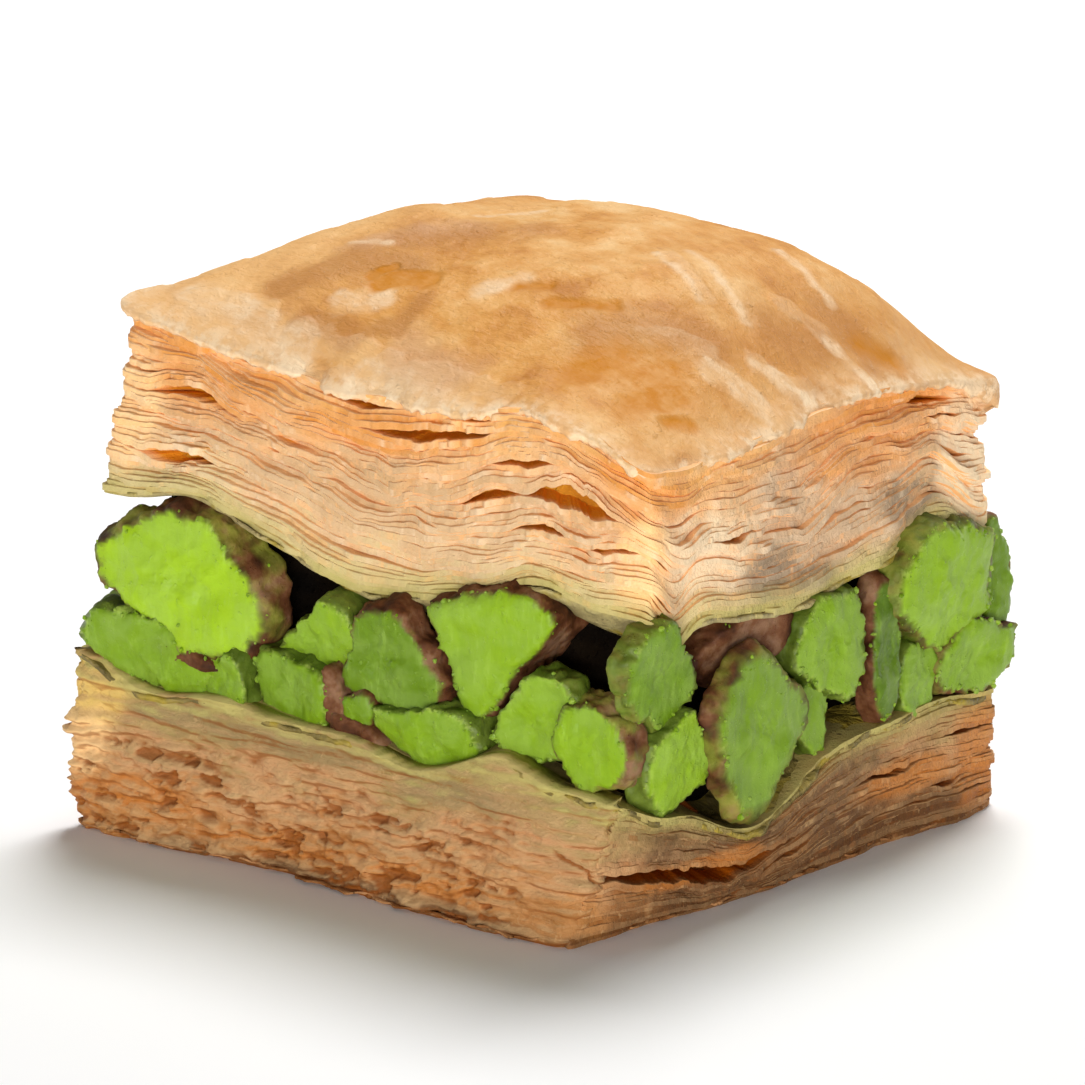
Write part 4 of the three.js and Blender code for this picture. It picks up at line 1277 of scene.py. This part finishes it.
def kernels_piece(name, wanted):
    """Joins kernels into one piece; wanted holds (side, nut, seed, rows)."""
    points, faces = [], []
    values = {"flesh": [], "glow": [], "skin": [], "rim": [], "cut": []}
    base = 0
    for side, nut, seed, rows in wanted:
        spots, near, *found = kernel(side, nut, seed, rows)
        points.append(spots)
        faces.extend([[i + base for i in face] for face in near])
        for label, value in zip(values, found):
            values[label].append(value)
        base += len(spots)
    piece = new_piece(name, np.concatenate(points), faces)
    for label, parts in values.items():
        give_values(piece, label, np.concatenate(parts))
    face_outward(piece)
    return piece


FULL_TURN = 6.28
CRUMB_SIZES = {"Amount": 5000000.0, "Smallest": 0.06, "Largest": 0.27}
CRUMB_INPUTS = [
    ("Amount", "Float", 400000.0), ("Smallest", "Float", 0.1), ("Largest", "Float", 0.3),
    ("Seed", "Int", 1), ("Material", "Material", None),
]


def crumb_tree(name):
    """Strews small chips of kernel over the crumbly rims of broken kernels."""
    tree, of = new_tree(name, CRUMB_INPUTS)
    wanted = stored(tree, "rim") * (stored(tree, "flesh") * 0.8 + 0.2)
    inlets = {"Mesh": of["Geometry"], "Density": wanted * of["Amount"], "Seed": of["Seed"]}
    scatter = add(tree, "GeometryNodeDistributePointsOnFaces", inlets, "Points")
    chip = add(tree, "GeometryNodeMeshIcoSphere", {"Radius": MM, "Subdivisions": 1}, "Mesh")
    number = add(tree, "GeometryNodeInputIndex")
    share = random_of(tree, number, 1) ** 4.0
    size = of["Smallest"] + (of["Largest"] - of["Smallest"]) * share
    flatness = [size * random_of(tree, number, seed, 0.5, 1.3) for seed in (2, 3)]
    turns = [random_of(tree, number, seed, 0.0, FULL_TURN) for seed in (4, 5, 6)]
    inlets = {
        "Points": scatter, "Instance": chip,
        "Scale": joined(tree, size, *flatness), "Rotation": joined(tree, *turns),
    }
    copies = add(tree, "GeometryNodeInstanceOnPoints", inlets)
    real = add(tree, "GeometryNodeRealizeInstances", {"Geometry": copies})
    place = add(tree, "GeometryNodeInputPosition")
    normal = add(tree, "GeometryNodeInputNormal")
    shift = normal * (((place * 4000.0).noise(1.0, 1.0) - 0.5) * 0.00022)
    geometry = add(tree, "GeometryNodeSetPosition", {"Geometry": real, "Offset": shift})
    tint = (place * 900.0).noise(1.0, 1.0)
    for label, value in (("flesh", 1.0), ("cut", 1.0), ("skin", 0.1), ("rim", 0.6)):
        geometry = store(tree, geometry, label, value)
    geometry = store(tree, geometry, "glow", tint * 0.8)
    end_tree(tree, geometry, of["Material"])
    return tree


def spread(seed):
    """An endless run of repeatable numbers from 0 to 1."""
    state = seed
    while True:
        state = (state * 1664525 + 1013904223) % 2**32
        yield state / 2**32


# Rows of kernels on the hidden walls: height and spacing.
HIDDEN_ROWS = ((11.6, 6.2), (16.4, 6.8))
# No hidden kernel stands nearer to a corner than this, where the kernels of two walls would meet.
HIDDEN_CORNER = 6.5


def hidden_kernels(skipped):
    """Kernels of the back and left walls, placed by rule, after passing over some random numbers."""
    draw = spread(11).__next__
    for _ in range(skipped):
        draw()
    hidden = []
    for side in ("back", "left"):
        length = nut_side(side)[3]
        found = []
        for up, pitch in HIDDEN_ROWS:
            count = int(length / pitch)
            for i in range(count):
                along = (i + 0.5 + 0.35 * (draw() - 0.5)) * length / count
                height = up + 1.4 * (draw() - 0.5)
                wide = 5.5 + 3.5 * draw()
                tall = 5.2 + 2.2 * draw()
                turn = 90 * (draw() - 0.5)
                found.append((along, height, wide, tall, 6.5, turn, -1.0 + 1.2 * draw()))
        for nut in found:
            along, wide, tall = nut[0], nut[2], nut[3]
            gap = along if side == "back" else min(length - along, along + 2.0)
            if gap < HIDDEN_CORNER:
                continue
            lean, tip = (0.5 * (draw() - 0.5) for _ in range(2))
            spin = draw() * 360
            glow = 0.3 + 0.4 * ((along * 7.3) % 1)
            skin = 0.9 if glow > 0.62 else 0.2
            nut = (*nut, lean, tip, glow, skin, spin, min(wide, tall) * 0.38)
            hidden.append((side, nut, int(along * 13) + 200, 20))
    return hidden


class BaklavaSizes(bpy.types.PropertyGroup):
    """Sizes of the piece."""

    lid_leaves: bpy.props.IntProperty(
        name="Lid leaves", description="Number of filo leaves in the lid", default=38, min=8, max=80
    )
    base_leaves: bpy.props.IntProperty(
        name="Base leaves", description="Number of filo leaves in the base", default=32, min=8, max=60
    )
    nut_rows: bpy.props.IntProperty(
        name="Kernel detail", description="Faces across a large kernel", default=34, min=8, max=48
    )


class BaklavaColours(bpy.types.PropertyGroup):
    """Colours of the piece."""

    floor: bpy.props.FloatVectorProperty(
        name="Floor", description="Colour of the studio floor", default=(0.93, 0.93, 0.93), size=3,
        min=0.0, max=1.0, subtype="COLOR",
    )


class BAKLAVA_OT_base(bpy.types.Operator):
    """Builds the lower stack of filo leaves"""

    bl_idname = "baklava.base"
    bl_label = "Base pastry"

    def execute(self, context):
        part, edges = "base_pastry", (BASE_FOOT, BASE_TOP)
        stops = [(0, "#a06830"), (0.25, "#bc8048"), (0.55, "#c69466"), (0.8, "#aa8b58"), (1, "#8c7644")]
        tints = {
            "orange": "#bf7228", "grey": "#8f7a50", "painted_highlight": "#ffd294", "painted_glow": "#e2be66",
            "brown": "#54331a", "lip": "#dcb480",
        }
        # The crease colour (dark orange-brown) serves for fine leaf lines and as painted shade in creases,
        # undersides, recessed leaves and hollows.
        paint = leaf_paint(
            "Base leaves", 30.0, stops, line_and_shade_tone="#8f4e16", deep="#b45c0c", stain_span=(0.8, 1.04), tints=tints
        )
        tree = leaf_tree("Base leaf stack", *edges, BASE_SLITS, BASE_FUSED)
        names = ("base_leaves_lower", "base_leaves_upper")
        leaf_stack(part, names, edges, context.scene.baklava_sizes.base_leaves, tree, BASE_MARKS, 31, {
            "Thickness": 0.9, "Looseness": 0.3, "Reach": 0.15, "Waviness": 0.12,
            "Bunching": 0.7, "Raggedness": 0.2, "Fraying": 0.06, "Flaps": 0.12, "Curl": 0.05,
            "Crumbling": 0.2, "Front recess": 1.2, "Seed": 4, "Material": paint,
        })
        face = crumb_face("base_front_face", *edges, FACE_POINTS, before=6, after=22, rows=78, seed=40)
        wall_marks(face, edges, BASE_MARKS, 31)
        hand_over(face, part, paint)
        heart = stack_heart("base_heart", *edges, inset=2.2, down=0.25, up=0.3, seed=5)
        hand_over(heart, part, heart_paint("Base heart", "#3a1a06", "#7a3c0c"))

        def wrinkles(points, u, v):
            flat = points * (1, 1, 0)
            folds = 0.22 * lumps(flat, 2.4, 7, 3) + 0.12 * lumps(flat, 0.9, 17, 2)
            return folds - rimward(u, v) ** 14 * (0.2 + 0.4 * lumps(flat, 1.7, 27, 3))

        def droop(points, u, v):
            return 0.24 + rimward(u, v) ** 30 * np.abs(0.5 * lumps(points * (1, 1, 0), 2.0, 37, 3))

        bottom = sheet_piece(
            "base_bottom_leaf", BASE_FOOT, droop, thick=0.14, count=160, ragged=0.9, seed=10
        )
        hand_over(bottom, part, heart_paint("Bottom leaf", "#7c4a22", "#c49060"))
        top = sheet_piece("base_top_leaf", BASE_TOP, wrinkles, thick=0.35, count=190, ragged=0.5, seed=8)
        stops = [(0.2, "#5c5028"), (0.45, "#7c6c38"), (0.6, "#94824c"), (0.85, "#b8a470")]
        hand_over(top, part, wet_leaf_paint("Stained top leaf", stops))
        return {"FINISHED"}


class BAKLAVA_OT_lid(bpy.types.Operator):
    """Builds the upper stack of filo leaves and its crust"""

    bl_idname = "baklava.lid"
    bl_label = "Lid pastry"

    def execute(self, context):
        part, edges = "lid_pastry", (LID_FOOT, LID_TOP)
        stops = [(0, "#d8c088"), (0.25, "#dcb688"), (0.5, "#cca272"), (0.75, "#dea466"), (1, "#e8a858")]
        tints = {
            "orange": "#e09038", "grey": "#8a745c", "painted_highlight": "#fbe0b8", "painted_glow": "#ffd090",
            "brown": "#cba884", "lip": "#fde6c4",
        }
        # The crease colour (bright warm orange) serves for fine leaf lines and as a painted glow of light
        # through the leaves in creases, undersides and recessed leaves.
        paint = leaf_paint(
            "Lid leaves", 44.0, stops, line_and_shade_tone="#fab66e", deep="#e89a28", stain_span=(0.2, 0.0), tints=tints
        )
        tree = leaf_tree("Lid leaf stack", *edges, LID_SLITS, LID_FUSED)
        names = ("lid_leaves_lower", "lid_leaves_middle", "lid_leaves_upper")
        leaf_stack(part, names, edges, context.scene.baklava_sizes.lid_leaves, tree, LID_MARKS, 32, {
            "Thickness": 1.12, "Looseness": 0.45, "Reach": 0.15, "Waviness": 0.16,
            "Bunching": 1.1, "Raggedness": 0.55, "Fraying": 0.16, "Flaps": 0.65, "Curl": 0.22,
            "Crumbling": 0.15, "Seed": 2, "Material": paint,
        })
        heart = stack_heart("lid_heart", *edges, inset=2.2, down=0.4, up=0.6, seed=6, rise=5.5)
        hand_over(heart, part, heart_paint("Lid heart", "#b8701c", "#dc9c30"))
        hand_over(crust_piece("lid_crust", rows=250), part, crust_paint())

        def sag(points, u, v):
            return 0.15 + 0.25 * lumps(points * (1, 1, 0), 3.0, 9, 3) * (1 - rimward(u, v) ** 6)

        hem = sheet_piece("lid_bottom_leaf", LID_FOOT, sag, thick=0.3, count=180, ragged=0.5, seed=9)
        stops = [(0.2, "#94845a"), (0.45, "#b0a06c"), (0.6, "#c4b67c"), (0.85, "#d8cc98")]
        hand_over(hem, part, wet_leaf_paint("Stained hem leaf", stops))
        return {"FINISHED"}


class BAKLAVA_OT_nuts(bpy.types.Operator):
    """Builds the broken pistachio kernels"""

    bl_idname = "baklava.nuts"
    bl_label = "Pistachios"

    def execute(self, context):
        rows = context.scene.baklava_sizes.nut_rows

        def wall(side, nuts, seed):
            found = []
            for number, nut in enumerate(nuts):
                detail = max(12, min(rows, int(rows * max(nut[2], nut[3]) / 10)))
                found.append((side, nut, number * 5 + seed, detail))
            return found

        paint = nut_paint()
        front, right = wall("front", FRONT_NUTS, 1), wall("right", RIGHT_NUTS, 90)
        hidden = hidden_kernels(3 * (len(front) + len(right)))
        for name, wanted in (("nuts_front", front), ("nuts_right", right), ("nuts_behind", hidden)):
            hand_over(kernels_piece(name, wanted), "pistachio_bed", paint)
        strewn = crumb_tree("Kernel crumbs")
        for name, wanted, seed in (("crumbs_front", front, 3), ("crumbs_right", right, 4)):
            crumbs = kernels_piece(name, wanted)
            run_tree(crumbs, strewn, CRUMB_SIZES | {"Seed": seed, "Material": paint})
            hand_over(crumbs, "pistachio_bed")
        # A near-black core behind the kernels stands in for the shade in the gaps between them.
        heart = stack_heart("nut_shade_core", BASE_TOP, LID_FOOT, inset=4.8, down=-0.5, up=-0.5, seed=12)
        hand_over(heart, "pistachio_bed", heart_paint("Nut gap shade", "#060301", "#140c04"))
        return {"FINISHED"}


FLOOR_SIZE = 6000
LAMP_TARGET = (0, 0, 0.02)


def aim(thing, target):
    """Turns a lamp or a camera towards a point."""
    thing.rotation_euler = (Vector(target) - thing.location).to_track_quat("-Z", "Y").to_euler()
    bpy.context.scene.collection.objects.link(thing)


def area_light(name, place, size, power, colour):
    """A soft studio lamp aimed at the middle of the piece."""
    data = bpy.data.lights.new(name, "AREA")
    data.shape = "RECTANGLE"
    data.size, data.size_y = size
    data.energy = power
    data.color = colour
    lamp = bpy.data.objects.new(name, data)
    lamp.location = place
    aim(lamp, LAMP_TARGET)


class BAKLAVA_OT_stage(bpy.types.Operator):
    """Sets up the floor, the lamps and the camera"""

    bl_idname = "baklava.stage"
    bl_label = "Stage"

    def execute(self, context):
        scene = context.scene
        colours = scene.baklava_colours
        half = FLOOR_SIZE / 2
        corners = [(x * half, y * half, 0) for x, y in ((-1, -1), (1, -1), (1, 1), (-1, 1))]
        floor = new_piece("floor", corners, [(0, 1, 2, 3)])
        paint = Paint("Floor", Roughness=0.9, Specular_IOR_Level=0.1, Base_Color=(*colours.floor, 1.0))
        floor.data.materials.append(paint.material)

        world = bpy.data.worlds.new("Studio")
        world.use_nodes = True
        background = next(n for n in world.node_tree.nodes if n.type == "BACKGROUND")
        background.inputs["Color"].default_value = (1.0, 0.99, 0.98, 1.0)
        background.inputs["Strength"].default_value = 0.12
        scene.world = world
        warm = (1.0, 0.99, 0.97)
        area_light("above", (-0.105, 0.262, 0.53), (0.24, 0.24), 3.75, (1.0, 1.0, 1.0))
        area_light("front", (0.345, -0.475, 0.064), (0.42, 0.08), 2.9, warm)
        area_light("right rim", (0.07, 0.5, 0.08), (0.3, 0.12), 0.5, warm)
        area_light("left rim", (-0.5, -0.08, 0.08), (0.3, 0.12), 0.5, warm)

        data = bpy.data.cameras.new("Camera")
        data.lens = 216.7
        data.sensor_width = 36.0
        data.clip_start, data.clip_end = 0.01, 20.0
        camera = bpy.data.objects.new("Camera", data)
        camera.location = Vector((264.83, -303.37, 137.72)) * MM
        aim(camera, Vector((0.2, 0.17, 18.43)) * MM)
        scene.camera = camera
        scene.view_settings.view_transform = "Standard"
        scene.view_settings.look = "None"
        return {"FINISHED"}


class BAKLAVA_PT_panel(bpy.types.Panel):
    """Lists the steps that build the piece"""

    bl_label = "Baklava"
    bl_idname = "BAKLAVA_PT_panel"
    bl_space_type = "VIEW_3D"
    bl_region_type = "UI"
    bl_category = "Baklava"

    def draw(self, context):
        column = self.layout.column()
        for group in (context.scene.baklava_sizes, context.scene.baklava_colours):
            for label in group.__annotations__:
                column.prop(group, label)
        for step in STEPS:
            column.operator(step.bl_idname)


STEPS = (BAKLAVA_OT_base, BAKLAVA_OT_nuts, BAKLAVA_OT_lid, BAKLAVA_OT_stage)
CLASSES = (BaklavaSizes, BaklavaColours, *STEPS, BAKLAVA_PT_panel)


def register():
    for kind in CLASSES:
        bpy.utils.register_class(kind)
    bpy.types.Scene.baklava_sizes = bpy.props.PointerProperty(type=BaklavaSizes)
    bpy.types.Scene.baklava_colours = bpy.props.PointerProperty(type=BaklavaColours)


def unregister():
    del bpy.types.Scene.baklava_colours
    del bpy.types.Scene.baklava_sizes
    for kind in reversed(CLASSES):
        bpy.utils.unregister_class(kind)


def main():
    register()
    bpy.ops.baklava.base()
    bpy.ops.baklava.nuts()
    bpy.ops.baklava.lid()
    bpy.ops.baklava.stage()


if __name__ == "__main__":
    main()
